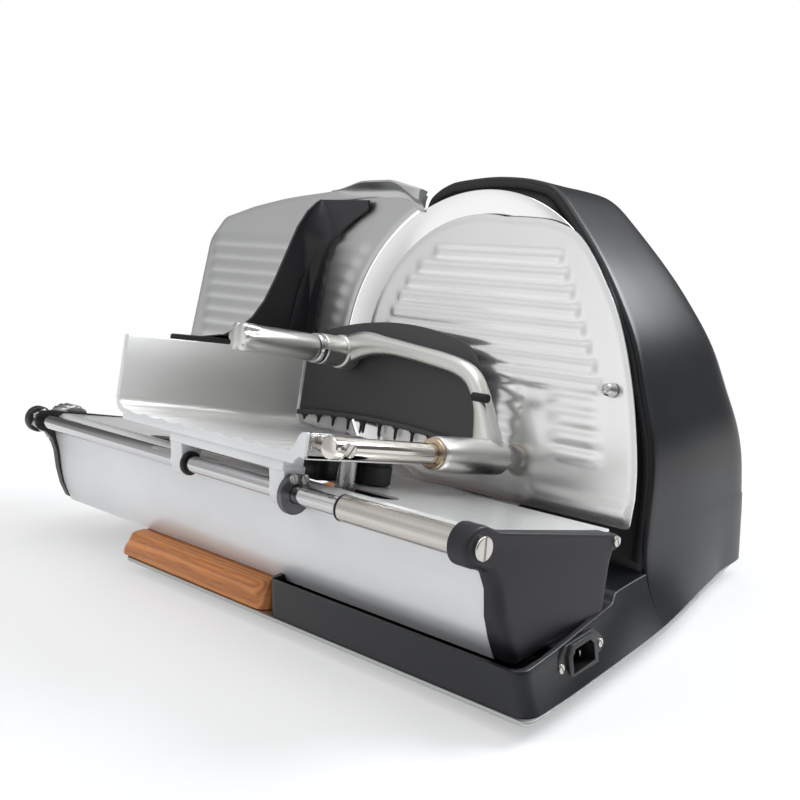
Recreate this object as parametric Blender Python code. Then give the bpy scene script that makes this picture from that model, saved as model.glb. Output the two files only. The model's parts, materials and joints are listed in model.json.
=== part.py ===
# Food slicer, built as an assembly of separate pieces, in metres, with +Z up.
# Sizes below are in millimetres and are turned into metres when a mesh is made.
# The blade's centre is the origin of all measures. Points are written as x, toward, up:
# x runs to the right, toward runs to the person who slices, up runs along the tilted machine.
import math
import bpy
import bmesh
from mathutils import Matrix, Vector

MM = 0.001
GAP = 0.3
ROUNDNESS = 0.46

# The working parts lean away from the person who slices
LEAN_DEG = 12.5

# Blade
BLADE_RADIUS = 125.0

# Base plate, feet and board
BASE_RIGHT = BLADE_RADIUS + 67.4
PLATE_TOP = -160.0
PLATE_THICK = 5.0
PLATE_LEFT = -187.0
PLATE_FRONT = 187.0
PLATE_BACK = -145.0
FOOT_HEIGHT = 8.0
FOOT_RADIUS = 13.0
BOARD_THICK = 20.7
BOARD_LEFT = -191.0
BOARD_RIGHT = -18.0
BOARD_BACK = -60.0

# Machine casting
WALL = 4.0
BASE_TOP = -137.4
LEDGE_TOP = -125.0
DOME_RECESS = -20.0
DOME_BACK = 145.0

# Blade drive, measured from the plane of the cutting edge
BLADE_SET_BACK = 2.2
BLADE_TOE_DEG = 2.0
SHAFT_RADIUS = 8.0
PULLEY_RADIUS = 35.0
MOTOR_PULLEY_RADIUS = 9.0
PULLEY_FRONT = -50.0
PULLEY_WIDTH = 12.0
MOTOR_X = 88.0
MOTOR_UP = -28.0
MOTOR_RADIUS = 40.0
MOTOR_FRONT = -70.0
MOTOR_LENGTH = 64.0

# Blade cover and gauge plate
COVER_RADIUS = BLADE_RADIUS - 18.9
COVER_THICK = 1.8
RIB_PITCH = 12.4
GAUGE_FACE = 2.2
GAUGE_THICK = 2.5
GAUGE_BOTTOM = -97.5
GAUGE_TRAVEL = 14.0

# Guide with its rod
GUIDE_LEFT = -295.0
CARRIER_X = GUIDE_LEFT + 73.0
GUIDE_RIGHT = BLADE_RADIUS + 43.0
GUIDE_TOP = -99.5
GUIDE_BACK = 33.5
SHEET = 2.0
ROD_TOWARD = 170.0
ROD_UP = -107.0
ROD_RADIUS = 6.0
SLOT_TOWARD = ROD_TOWARD - 32.0
SLOT_HALF = 12.0
SLOT_LEFT = -163.0
SLOT_RIGHT = 76.0
KNOB_TOWARD = ROD_TOWARD - 32.0
KNOB_UP = -112.0
KNOB_RADIUS = 19.0

# Carriage
TABLE_LEFT = -176.0
TABLE_RIGHT = 38.0
TABLE_TOP = -79.5
TABLE_SHEET = 2.4
TABLE_BACK = 4.0
TABLE_FRONT = ROD_TOWARD + 11.0
WALL_TOP_FRONT = -24.5
WALL_TOP_BACK = -18.5
GROOVE_COUNT = 8
GROOVE_PITCH = 21.5
GROOVE_FIRST = -146.0
GROOVE_DEPTH = 1.6

# Pusher
PUSHER_X = 55.0
PUSHER_UP = -72.0
PUSHER_ROD_RADIUS = 7.0
HANDLE_X = -107.0
HANDLE_UP = -13.5
TEETH_COUNT = 10


def clear_scene():
    for thing in list(bpy.data.objects):
        bpy.data.objects.remove(thing, do_unlink=True)


def fillet(points, radius, steps=3):
    # Rounds the corners of an outline. A point may carry its own radius as a third value.
    result = []
    count = len(points)
    for index in range(count):
        here = points[index]
        before = Vector(points[index - 1][:2])
        after = Vector(points[(index + 1) % count][:2])
        corner = Vector(here[:2])
        size = here[2] if len(here) > 2 else radius
        if size <= 0.0:
            result.append((corner.x, corner.y))
            continue
        inward = before - corner
        outward = after - corner
        angle = inward.angle(outward)
        if angle > math.radians(176.0):
            result.append((corner.x, corner.y))
            continue
        reach = size / math.tan(angle / 2.0)
        limit = 0.48 * min(inward.length, outward.length)
        if reach > limit:
            reach = limit
        start = corner + inward.normalized() * reach
        end = corner + outward.normalized() * reach
        for step in range(steps + 1):
            t = step / steps
            point = start * (1 - t) ** 2 + corner * (2 * t * (1 - t)) + end * t ** 2
            result.append((point.x, point.y))
    return result


def signed_area(outline):
    total = 0.0
    for index in range(len(outline)):
        a = outline[index - 1]
        b = outline[index]
        total += a[0] * b[1] - b[0] * a[1]
    return total / 2.0


def inset(outline, distance):
    # Moves every edge of an outline inward by the same distance
    sign = 1.0 if signed_area(outline) > 0 else -1.0
    result = []
    count = len(outline)
    for index in range(count):
        before = Vector(outline[index - 1])
        here = Vector(outline[index])
        after = Vector(outline[(index + 1) % count])
        first = (here - before).normalized()
        second = (after - here).normalized()
        normal_a = Vector((-first.y, first.x)) * sign
        normal_b = Vector((-second.y, second.x)) * sign
        middle = normal_a + normal_b
        if middle.length < 0.2:
            middle = normal_a
        middle = middle.normalized()
        share = max(0.5, middle.dot(normal_a))
        moved = here + middle * (distance / share)
        result.append((moved.x, moved.y))
    return result


def arc(centre_a, centre_b, radius, start_deg, end_deg, steps):
    points = []
    for step in range(steps + 1):
        angle = math.radians(start_deg + (end_deg - start_deg) * step / steps)
        points.append((centre_a + radius * math.cos(angle), centre_b + radius * math.sin(angle)))
    return points


def spot(axis, pair, along):
    # Puts an outline point and a place along the axis together as x, toward, up
    if axis == 'x':
        return (along, pair[0], pair[1])
    if axis == 'toward':
        return (pair[0], along, pair[1])
    return (pair[0], pair[1], along)


def to_local(point):
    return Vector((point[0], -point[1], point[2]))


def tidy(mesh):
    bmesh.ops.remove_doubles(mesh, verts=mesh.verts, dist=0.0005)
    bmesh.ops.recalc_face_normals(mesh, faces=mesh.faces)
    return mesh


def loft(sections):
    # Joins closed sections that have the same number of points and closes both ends
    mesh = bmesh.new()
    rows = []
    for section in sections:
        rows.append([mesh.verts.new(to_local(point)) for point in section])
    count = len(rows[0])
    for row in range(len(rows) - 1):
        for index in range(count):
            following = (index + 1) % count
            mesh.faces.new((rows[row][index], rows[row][following],
                            rows[row + 1][following], rows[row + 1][index]))
    mesh.faces.new(rows[0])
    mesh.faces.new(list(reversed(rows[-1])))
    return tidy(mesh)


def prism(outline, axis, low, high, chamfer=0.0):
    if chamfer > 0.0:
        small = inset(outline, chamfer)
        sections = [[spot(axis, p, low) for p in small],
                    [spot(axis, p, low + chamfer) for p in outline],
                    [spot(axis, p, high - chamfer) for p in outline],
                    [spot(axis, p, high) for p in small]]
    else:
        sections = [[spot(axis, p, low) for p in outline],
                    [spot(axis, p, high) for p in outline]]
    return loft(sections)


def box(x_range, toward_range, up_range, chamfer=0.0):
    outline = [(x_range[0], toward_range[0]), (x_range[1], toward_range[0]),
               (x_range[1], toward_range[1]), (x_range[0], toward_range[1])]
    return prism(outline, 'up', up_range[0], up_range[1], chamfer)


def turned(profile, axis, centre, steps=48):
    # Turns a closed profile of radius and place along the axis. A radius of zero closes the middle.
    steps = max(8, 2 * round(steps * ROUNDNESS / 2.0))
    mesh = bmesh.new()
    rings = []
    for radius, along in profile:
        if radius <= 0.0:
            rings.append([mesh.verts.new(to_local(spot(axis, centre, along)))])
            continue
        ring = []
        for step in range(steps):
            angle = 2.0 * math.pi * step / steps
            pair = (centre[0] + radius * math.cos(angle), centre[1] + radius * math.sin(angle))
            ring.append(mesh.verts.new(to_local(spot(axis, pair, along))))
        rings.append(ring)
    pairs = []
    for index in range(len(rings)):
        first = rings[index]
        second = rings[(index + 1) % len(rings)]
        if len(first) == 1 and len(second) == 1:
            continue
        pairs.append((first, second))
    for first, second in pairs:
        for step in range(steps):
            following = (step + 1) % steps
            if len(first) == 1:
                mesh.faces.new((first[0], second[following], second[step]))
            elif len(second) == 1:
                mesh.faces.new((first[step], first[following], second[0]))
            else:
                mesh.faces.new((first[step], first[following], second[following], second[step]))
    return tidy(mesh)


def rod(axis, centre, radius, low, high, chamfer=0.0, steps=32):
    if chamfer > 0.0:
        profile = [(0, low), (radius - chamfer, low), (radius, low + chamfer),
                   (radius, high - chamfer), (radius - chamfer, high), (0, high)]
    else:
        profile = [(0, low), (radius, low), (radius, high), (0, high)]
    return turned(profile, axis, centre, steps)


def ring(axis, centre, inner, outer, low, high, steps=40):
    return turned([(inner, low), (outer, low), (outer, high), (inner, high)], axis, centre, steps)


def temporary(mesh):
    holder = bpy.data.meshes.new('temporary')
    mesh.to_mesh(holder)
    mesh.free()
    thing = bpy.data.objects.new('temporary', holder)
    bpy.context.scene.collection.objects.link(thing)
    return thing


def combine(base, tools, operation):
    target = temporary(base)
    for tool in tools:
        cutter = temporary(tool)
        modifier = target.modifiers.new('combine', 'BOOLEAN')
        modifier.operation = operation
        modifier.solver = 'EXACT'
        modifier.object = cutter
        bpy.context.view_layer.update()
        graph = bpy.context.evaluated_depsgraph_get()
        made = bpy.data.meshes.new_from_object(target.evaluated_get(graph))
        target.modifiers.remove(modifier)
        target.data = made
        bpy.data.objects.remove(cutter, do_unlink=True)
    result = bmesh.new()
    result.from_mesh(target.data)
    bpy.data.objects.remove(target, do_unlink=True)
    bmesh.ops.remove_doubles(result, verts=result.verts, dist=0.002)
    bmesh.ops.dissolve_degenerate(result, edges=result.edges, dist=0.002)
    return result


def cut(base, tools):
    return combine(base, tools, 'DIFFERENCE')


def join(base, tools):
    return combine(base, tools, 'UNION')


def material(name, colour, roughness, metallic):
    made = bpy.data.materials.new(name)
    made.use_nodes = True
    shader = made.node_tree.nodes['Principled BSDF']
    shader.inputs['Base Color'].default_value = (colour[0], colour[1], colour[2], 1.0)
    shader.inputs['Roughness'].default_value = roughness
    shader.inputs['Metallic'].default_value = metallic
    made.diffuse_color = (colour[0], colour[1], colour[2], 1.0)
    return made


def steel(name):
    return material(name, (0.62, 0.63, 0.65), 0.28, 1.0)


def brushed(name):
    return material(name, (0.70, 0.71, 0.73), 0.38, 1.0)


def aluminium(name):
    return material(name, (0.78, 0.79, 0.81), 0.33, 1.0)


def black_paint(name):
    return material(name, (0.018, 0.019, 0.022), 0.36, 0.0)


def black_plastic(name):
    return material(name, (0.022, 0.022, 0.025), 0.45, 0.0)


def rubber(name):
    return material(name, (0.012, 0.012, 0.013), 0.85, 0.0)


def white_silver(name):
    return material(name, (0.74, 0.76, 0.78), 0.35, 0.4)


def wood(name):
    return material(name, (0.52, 0.25, 0.09), 0.55, 0.0)


def copper(name):
    return material(name, (0.72, 0.43, 0.20), 0.35, 1.0)


def empty(name, parent=None):
    thing = bpy.data.objects.new(name, None)
    bpy.context.scene.collection.objects.link(thing)
    if parent is not None:
        thing.parent = parent
    return thing


def place(name, mesh, frame, look, pivot=(0.0, 0.0, 0.0)):
    # Makes the named object. Its own origin is the pivot, a point of its joint's axis.
    shift = to_local(pivot)
    bmesh.ops.translate(mesh, verts=mesh.verts, vec=-shift)
    bmesh.ops.scale(mesh, verts=mesh.verts, vec=(MM, MM, MM))
    bmesh.ops.recalc_face_normals(mesh, faces=mesh.faces)
    data = bpy.data.meshes.new(name)
    mesh.to_mesh(data)
    mesh.free()
    data.shade_smooth()
    data.set_sharp_from_angle(angle=math.radians(32.0))
    thing = bpy.data.objects.new(name, data)
    bpy.context.scene.collection.objects.link(thing)
    thing.parent = frame
    thing.location = shift * MM
    thing.data.materials.append(look(name + '_look'))
    return thing


def hexagon(axis, centre, flat, low, high, bore=0.0):
    outline = []
    for corner in range(6):
        angle = math.radians(60.0 * corner + 30.0)
        outline.append((centre[0] + flat / 1.732 * math.cos(angle),
                        centre[1] + flat / 1.732 * math.sin(angle)))
    mesh = prism(outline, axis, low, high, 0.6)
    if bore > 0.0:
        mesh = cut(mesh, [rod(axis, centre, bore, low - 1.0, high + 1.0)])
    return mesh


def slotted_screw(axis, centre, head, shank, head_low, head_high, shank_end, slot_deg=30.0):
    # A screw whose head lies between two places and whose shank runs to a third
    if shank_end < head_low:
        profile = [(0, shank_end), (shank, shank_end), (shank, head_low), (head, head_low),
                   (head, head_high - 0.5), (head - 0.7, head_high), (0, head_high)]
        slot_low = head_high - 0.9
        slot_high = head_high + 1.0
    else:
        profile = [(0, shank_end), (shank, shank_end), (shank, head_high), (head, head_high),
                   (head, head_low + 0.5), (head - 0.7, head_low), (0, head_low)]
        slot_low = head_low - 1.0
        slot_high = head_low + 0.9
    body = turned(profile, axis, centre, 28)
    turn = math.radians(slot_deg)
    along = Vector((math.cos(turn), math.sin(turn)))
    side = Vector((-along.y, along.x)) * (head * 0.14)
    middle = Vector(centre)
    far = along * (head + 1.0)
    outline = [tuple(middle + far + side), tuple(middle - far + side),
               tuple(middle - far - side), tuple(middle + far - side)]
    return cut(body, [prism(outline, axis, slot_low, slot_high)])


def around_blade(points):
    # Points that are written as shares of the blade's radius
    return [(p[0] * BLADE_RADIUS, p[1] * BLADE_RADIUS) + tuple(p[2:]) for p in points]


def plate_outline():
    points = [(BASE_RIGHT - 32.4, PLATE_BACK, 6.0), (BASE_RIGHT - 17.4, -66.5, 0.0), (BASE_RIGHT - 0.8, 19.0, 0.0),
              (BASE_RIGHT + 7.8, 110.3, 0.0), (BASE_RIGHT + 12.6, 159.0, 0.0), (BASE_RIGHT + 13.0, PLATE_FRONT, 9.0),
              (PLATE_LEFT, PLATE_FRONT, 6.0), (PLATE_LEFT, PLATE_BACK, 12.0)]
    return fillet(points, 0.0)


def foot_places():
    left = PLATE_LEFT + 27.0
    return {'foot_front_right': (BASE_RIGHT - 20.4, 150.0), 'foot_front_left': (left, 150.0),
            'foot_back_right': (BASE_RIGHT - 50.4, -112.0), 'foot_back_left': (left, -112.0)}


def make_base_plate(frame):
    low = PLATE_TOP - PLATE_THICK
    mesh = prism(plate_outline(), 'up', low, PLATE_TOP, 0.9)
    tools = [rod('up', p, 2.4, low - 2.0, PLATE_TOP + 2.0, 0.0, 16) for p in foot_places().values()]
    place('base_plate', cut(mesh, tools), frame, aluminium)


def make_feet(frame):
    high = PLATE_TOP - PLATE_THICK - GAP
    low = PLATE_TOP - PLATE_THICK - FOOT_HEIGHT
    seat = low + 4.0
    for name, p in foot_places().items():
        foot = turned([(5.5, low), (FOOT_RADIUS - 1.0, low), (FOOT_RADIUS, low + 1.0),
                       (FOOT_RADIUS - 0.5, high), (2.1, high), (2.1, PLATE_TOP - 0.5),
                       (0, PLATE_TOP - 0.5), (0, seat), (5.5, seat)], 'up', p, 28)
        place(name, foot, frame, rubber)


def make_board(frame):
    points = [(BOARD_LEFT - 3.0, PLATE_FRONT - 1.0, 5.0), (BOARD_RIGHT, PLATE_FRONT - 1.0, 12.0),
              (BOARD_RIGHT, BOARD_BACK, 6.0), (BOARD_LEFT, BOARD_BACK, 6.0)]
    outline = fillet(points, 0.0, 6)
    low = PLATE_TOP + GAP
    high = low + BOARD_THICK
    sections = []
    for along, depth in ((low, 0.8), (low + 0.8, 0.0), (high - 2.6, 0.0), (high - 0.6, 1.4), (high, 2.6)):
        sections.append([spot('up', p, along) for p in inset(outline, depth)])
    place('wooden_board', loft(sections), frame, wood)


def base_corners():
    return [(-17.0, 181.5, 14.0), (BASE_RIGHT + 5.1, 181.5, 13.0), (BASE_RIGHT, 120.0, 0.0),
            (BASE_RIGHT - 6.4, 50.0, 0.0), (BASE_RIGHT - 8.9, 19.0, 0.0), (BASE_RIGHT - 20.4, -66.5, 0.0),
            (BASE_RIGHT - 31.4, -141.0, 9.0), (-17.0, -141.0, 9.0)]


def base_outline():
    return fillet(base_corners(), 0.0, 4)


def dome_points():
    # The dome's edge from the front, as x and height, from bottom left over the top
    points = [(-15.0, -150.0, 0.0), (-15.0, -128.0, 0.0), (-22.0, -100.0, 20.0), (-48.0, -40.0, 30.0),
              (-58.0, 20.0, 30.0)]
    points += around_blade([(-0.528, 0.56, 20.0), (-0.6, 0.88, 7.0), (-0.512, 0.983, 8.0), (-0.344, 1.026, 10.0),
                            (-0.104, 1.047, 20.0), (0.12, 1.042, 20.0), (0.368, 1.003, 14.0), (0.54, 0.857, 10.0),
                            (0.776, 0.604, 10.0), (0.952, 0.372, 10.0), (1.096, 0.139, 10.0),
                            (1.208, -0.143, 10.0), (1.284, -0.346, 10.0), (1.327, -0.55, 10.0)])
    side = BLADE_RADIUS + 44.0
    points += [(side - 1.0, -101.5, 0.0), (side, -128.0, 0.0), (side, -150.0, 0.0)]
    return fillet(points, 0.0, 2)


def dome_section(depth, slope, wide, tall, shrink):
    # A section of the dome at a depth behind the blade, leaning by a slope
    middle = 45.0
    foot = -160.0
    outline = inset(dome_points(), shrink) if shrink > 0.0 else dome_points()
    section = []
    for x, up in outline:
        new_x = middle + (x - middle) * wide
        new_up = foot + (up - foot) * tall
        section.append((new_x, -(depth + slope * new_up), new_up))
    return section


def make_housing(frame):
    outline = base_outline()
    low = PLATE_TOP + GAP
    base = loft([[spot('up', p, low) for p in outline],
                 [spot('up', p, BASE_TOP - 2.4) for p in inset(outline, 2.8)],
                 [spot('up', p, BASE_TOP - 0.7) for p in inset(outline, 3.7)],
                 [spot('up', p, BASE_TOP) for p in inset(outline, 5.4)]])
    ledge_points = [(-13.0, 64.0, 12.0), (BASE_RIGHT - 6.0, 64.0, 14.0), (BASE_RIGHT - 9.9, 19.0, 0.0),
                    (BASE_RIGHT - 21.4, -66.5, 0.0), (BASE_RIGHT - 32.4, -137.5, 14.0), (-13.0, -137.5, 12.0)]
    ledge_outline = fillet(ledge_points, 0.0, 3)
    ledge = loft([[spot('up', p, BASE_TOP - 3.3) for p in inset(ledge_outline, 3.4)],
                  [spot('up', p, LEDGE_TOP - 2.0) for p in inset(ledge_outline, 4.6)],
                  [spot('up', p, LEDGE_TOP) for p in inset(ledge_outline, 7.0)]])
    slope = math.tan(math.radians(LEAN_DEG))
    front = 15.0 / math.cos(math.radians(LEAN_DEG))
    dome = loft([dome_section(front, slope, 1.0, 1.0, 2.6),
                 dome_section(front + 0.9, slope, 1.0, 1.0, 0.9),
                 dome_section(front + 3.2, slope, 1.0, 1.0, 0.0),
                 dome_section(62.0, 0.12, 1.0, 0.985, 0.0),
                 dome_section(110.0, 0.05, 0.985, 0.965, 0.0),
                 dome_section(130.0, 0.0, 0.975, 0.935, 0.0),
                 dome_section(140.5, 0.0, 0.955, 0.89, 0.0),
                 dome_section(DOME_BACK, 0.0, 0.92, 0.83, 0.0)])
    shell = join(base, [ledge, dome])
    recess_front = 15.0 / math.cos(math.radians(LEAN_DEG)) - 4.0
    recess_back = -DOME_RECESS / math.cos(math.radians(LEAN_DEG))
    recess = loft([dome_section(recess_front, slope, 1.0, 1.0, 7.5),
                   dome_section(recess_back, slope, 1.0, 1.0, 7.5)])
    above_ledge = box((-60.0, 200.0), (-60.0, 30.0), (LEDGE_TOP + 0.5, 200.0))
    recess = combine(recess, [above_ledge], 'INTERSECT')
    hollow_front = (-DOME_RECESS + WALL) / math.cos(math.radians(LEAN_DEG))
    hollow = loft([dome_section(hollow_front, slope, 1.0, 1.0, WALL + 1.5),
                   dome_section(62.0, 0.12, 1.0, 0.985, WALL),
                   dome_section(110.0, 0.05, 0.985, 0.965, WALL),
                   dome_section(128.0, 0.0, 0.975, 0.935, WALL),
                   dome_section(DOME_BACK - WALL, 0.0, 0.94, 0.87, WALL)])
    corners = [(p[0], p[1]) for p in base_corners()]
    under = loft([[spot('up', p, PLATE_TOP - 2.0) for p in fillet(inset(corners, 8.0), 3.0)],
                  [spot('up', p, BASE_TOP - WALL) for p in fillet(inset(corners, 11.0), 3.0)]])
    blade_slot = box((-40.0, 72.0), (-18.0, 8.0), (-BLADE_RADIUS - 10.0, LEDGE_TOP + 12.0))
    shell = cut(shell, [recess, hollow, under, blade_slot])
    lean = Matrix.Rotation(math.radians(-LEAN_DEG), 4, 'X')
    toe = Matrix.Translation((0.0, BLADE_SET_BACK, 0.0)) @ Matrix.Rotation(math.radians(BLADE_TOE_DEG), 4, 'Z')
    bores = [rod('toward', (0.0, 0.0), 22.6, -32.0, -12.0, 0.0, 48)]
    for bore in bores:
        bore.transform(lean @ toe)
    upper_place, lower_place = spacer_places()
    pins = [rod('toward', upper_place, 3.4, -32.0, -12.0, 0.0, 16),
            rod('toward', lower_place, 2.4, -32.0, -12.0, 0.0, 16)]
    for pin in pins:
        pin.transform(lean)
    inlet = box((-24.0, 12.0), (-14.3, 14.3), (-8.4, 8.4))
    inlet.transform(inlet_matrix())
    switch_hole = box(SWITCH_X, (-160.0, -130.0), SWITCH_UP)
    knock = [inlet] + bores + pins + [switch_hole]
    place('housing', cut(shell, knock), frame, black_paint)


SWITCH_X = (76.0, 114.0)
SWITCH_UP = (-114.0, -96.0)


def inlet_matrix():
    return (Matrix.Translation((BASE_RIGHT - 1.1, -120.0, -147.6))
            @ Matrix.Rotation(math.radians(5.2), 4, 'Z')
            @ Matrix.Rotation(math.radians(-7.0), 4, 'Y'))


def make_inlet(frame):
    face = GAP + 0.4
    flange = prism(fillet([(-25.0, -9.2), (25.0, -9.2), (25.0, 9.2), (-25.0, 9.2)], 4.0), 'x', face, face + 1.8, 0.4)
    body = box((-18.0, face + 0.5), (-13.8, 13.8), (-7.9, 7.9))
    pocket = prism(fillet([(-12.3, -6.4, 1.0), (12.3, -6.4, 1.0), (12.3, 3.0, 1.0), (8.6, 6.6, 1.0),
                           (-8.6, 6.6, 1.0), (-12.3, 3.0, 1.0)], 0.0, 2), 'x', -14.0, face + 4.0)
    pins = []
    for toward, up in ((-7.0, -1.8), (7.0, -1.8), (0.0, 2.2)):
        pins.append(box((-16.0, -3.0), (toward - 1.0, toward + 1.0), (up - 2.0, up + 2.0), 0.3))
    housing = join(cut(join(flange, [body]), [pocket]), pins)
    place('power_inlet', housing, frame, black_plastic)


def make_switch(frame):
    # The switch block sits in the back wall, its two buttons face away from the blade
    back = -DOME_BACK
    x_low, x_high = SWITCH_X
    up_low, up_high = SWITCH_UP
    body = box((x_low + 0.5, x_high - 0.5), (back - GAP - 0.5, back + 24.0), (up_low + 0.5, up_high - 0.5))
    bezel = box((x_low - 4.0, x_high + 4.0), (back - GAP - 2.4, back - GAP), (up_low - 4.0, up_high + 4.0), 0.5)
    whole = join(bezel, [body])
    middle = (x_low + x_high) / 2.0
    holes = [box((x_low + 3.0, middle - 1.2), (back - 5.0, back + 9.0), (up_low + 3.0, up_high - 3.0)),
             box((middle + 1.2, x_high - 3.0), (back - 5.0, back + 9.0), (up_low + 3.0, up_high - 3.0))]
    place('switch_body', cut(whole, holes), frame, black_plastic)
    on_button = box((x_low + 3.4, middle - 1.6), (back - 6.4, back + 4.0), (up_low + 3.4, up_high - 3.4), 0.5)
    off_button = box((middle + 1.6, x_high - 3.4), (back - 6.4, back + 4.0), (up_low + 3.4, up_high - 3.4), 0.5)
    place('on_button', on_button, frame, white_silver, ((x_low + middle) / 2.0, back, (up_low + up_high) / 2.0))
    place('off_button', off_button, frame, black_plastic, ((middle + x_high) / 2.0, back, (up_low + up_high) / 2.0))


def make_blade(frame):
    profile = [(8.3, -5.5), (100.0, -5.5), (107.0, -4.1), (BLADE_RADIUS - 0.4, -0.05), (BLADE_RADIUS, -0.35),
               (BLADE_RADIUS - 1.5, -1.4), (101.5, -7.3), (8.3, -7.3)]
    blade = turned(profile, 'toward', (0.0, 0.0), 150)
    place('blade', blade, frame, steel)
    shaft = turned([(0, -4.2), (7.2, -4.2), (SHAFT_RADIUS, -5.0), (SHAFT_RADIUS, -7.6), (30.0, -7.6),
                    (30.0, -12.5), (14.0, -13.2), (13.2, -16.0), (SHAFT_RADIUS, -16.0),
                    (SHAFT_RADIUS, PULLEY_FRONT - PULLEY_WIDTH - 3.5),
                    (0, PULLEY_FRONT - PULLEY_WIDTH - 3.5)], 'toward', (0.0, 0.0), 48)
    place('blade_shaft', shaft, frame, steel)
    high = PULLEY_FRONT
    low = PULLEY_FRONT - PULLEY_WIDTH
    edge = PULLEY_RADIUS
    wheel = turned([(SHAFT_RADIUS + GAP, high), (13.0, high), (13.0, high - 3.0), (edge - 5.0, high - 3.0),
                    (edge - 5.0, high), (edge, high), (edge, low), (SHAFT_RADIUS + GAP, low)],
                   'toward', (0.0, 0.0), 60)
    place('blade_pulley', wheel, frame, aluminium)


def make_bearings(frame):
    inner = SHAFT_RADIUS + GAP
    tube = turned([(inner, -17.2), (21.6, -17.2), (21.6, -25.0), (31.5, -25.0), (31.5, -29.0), (22.0, -29.0),
                   (20.0, -47.0), (inner, -47.0)], 'toward', (0.0, 0.0), 48)
    place('shaft_bearing', tube, frame, aluminium)


def pillar_places():
    return [(124.0, -6.0), (122.0, -54.0), (74.0, -68.0)]


def make_motor(frame):
    centre = (MOTOR_X, MOTOR_UP)
    back = MOTOR_FRONT - MOTOR_LENGTH
    r = MOTOR_RADIUS
    body = turned([(5.0, MOTOR_FRONT), (r - 3.0, MOTOR_FRONT), (r, MOTOR_FRONT - 3.0), (r, back + 6.0),
                   (r - 6.0, back), (0, back), (0, MOTOR_FRONT - 8.0), (5.0, MOTOR_FRONT - 8.0)],
                  'toward', centre, 48)
    place('motor', body, frame, black_plastic)
    low = PULLEY_FRONT - PULLEY_WIDTH
    rim = MOTOR_PULLEY_RADIUS
    wheel = turned([(0, PULLEY_FRONT + 2.0), (4.0, PULLEY_FRONT + 2.0), (4.0, PULLEY_FRONT), (rim, PULLEY_FRONT),
                    (rim, low), (4.0, low), (4.0, MOTOR_FRONT - 7.6), (0, MOTOR_FRONT - 7.6)],
                   'toward', centre, 32)
    place('motor_pulley', wheel, frame, steel, (MOTOR_X, 0.0, MOTOR_UP))
    points = [(centre[0] - 30.0, centre[1] + 30.0), (132.0, 4.0), (132.0, -64.0), (66.0, -78.0), (54.0, -50.0)]
    bracket = prism(fillet(points, 8.0), 'toward', MOTOR_FRONT + GAP, MOTOR_FRONT + GAP + 3.0, 0.3)
    legs = [rod('toward', p, 5.0, MOTOR_FRONT + 2.0, -28.0, 0.4, 20) for p in pillar_places()]
    hole = rod('toward', centre, 14.0, MOTOR_FRONT - 5.0, MOTOR_FRONT + 9.0, 0.0, 32)
    place('motor_bracket', cut(join(bracket, legs), [hole]), frame, steel)
    make_belt(frame)


def make_belt(frame):
    # A closed band around both pulleys
    distance = math.hypot(MOTOR_X, MOTOR_UP)
    heading = math.atan2(MOTOR_UP, MOTOR_X)
    lean = math.acos((PULLEY_RADIUS - MOTOR_PULLEY_RADIUS) / distance)

    def loop(extra):
        big = math.degrees(heading + lean)
        points = arc(0.0, 0.0, PULLEY_RADIUS + extra, big, big + 360.0 - 2.0 * math.degrees(lean), 36)
        start = math.degrees(heading - lean)
        end = math.degrees(heading + lean)
        points += arc(MOTOR_X, MOTOR_UP, MOTOR_PULLEY_RADIUS + extra, start, end, 14)
        return points

    low = PULLEY_FRONT - PULLEY_WIDTH + 1.5
    high = PULLEY_FRONT - 1.5
    inner = loop(GAP + 0.15)
    outer = loop(2.6)
    mesh = bmesh.new()
    rows = []
    for outline, along in ((inner, low), (outer, low), (outer, high), (inner, high)):
        rows.append([mesh.verts.new(to_local(spot('toward', p, along))) for p in outline])
    count = len(inner)
    for row in range(4):
        following_row = (row + 1) % 4
        for index in range(count):
            following = (index + 1) % count
            mesh.faces.new((rows[row][index], rows[row][following],
                            rows[following_row][following], rows[following_row][index]))
    place('drive_belt', tidy(mesh), frame, rubber)


def cover_outline():
    points = arc(0.0, 0.0, COVER_RADIUS, 80.0, 255.0, 36)
    points = [(p[0], p[1]) for p in points]
    corner = around_blade([(1.29, -0.82, 4.0), (1.296, -0.653, 0.0), (1.279, -0.494, 0.0), (1.236, -0.287, 0.0),
                           (1.18, -0.079, 0.0), (1.094, 0.155, 0.0), (1.005, 0.339, 0.0), (0.908, 0.486, 0.0),
                           (0.787, 0.647, 0.0), (0.688, 0.768, 8.0), (0.416, 0.835, 0.0), (0.16, 0.844, 0.0)])
    return points + fillet(corner, 0.0)[:-1]


def spacer_places():
    return around_blade([(1.064, -0.096), (1.12, -0.68)])


def groove_tool(x_low, x_high, up, face, depth, half):
    # A cutter for a shallow valley that runs along x
    sections = []
    for x, share in ((x_low, 0.05), (x_low + 5.0, 1.0), (x_high - 5.0, 1.0), (x_high, 0.05)):
        sections.append([(x, face + 1.0, up + half * share), (x, face + 1.0, up - half * share),
                         (x, face - depth * share * 0.5, up - half * 0.6 * share),
                         (x, face - depth * share, up),
                         (x, face - depth * share * 0.5, up + half * 0.6 * share)])
    return loft(sections)


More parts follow.
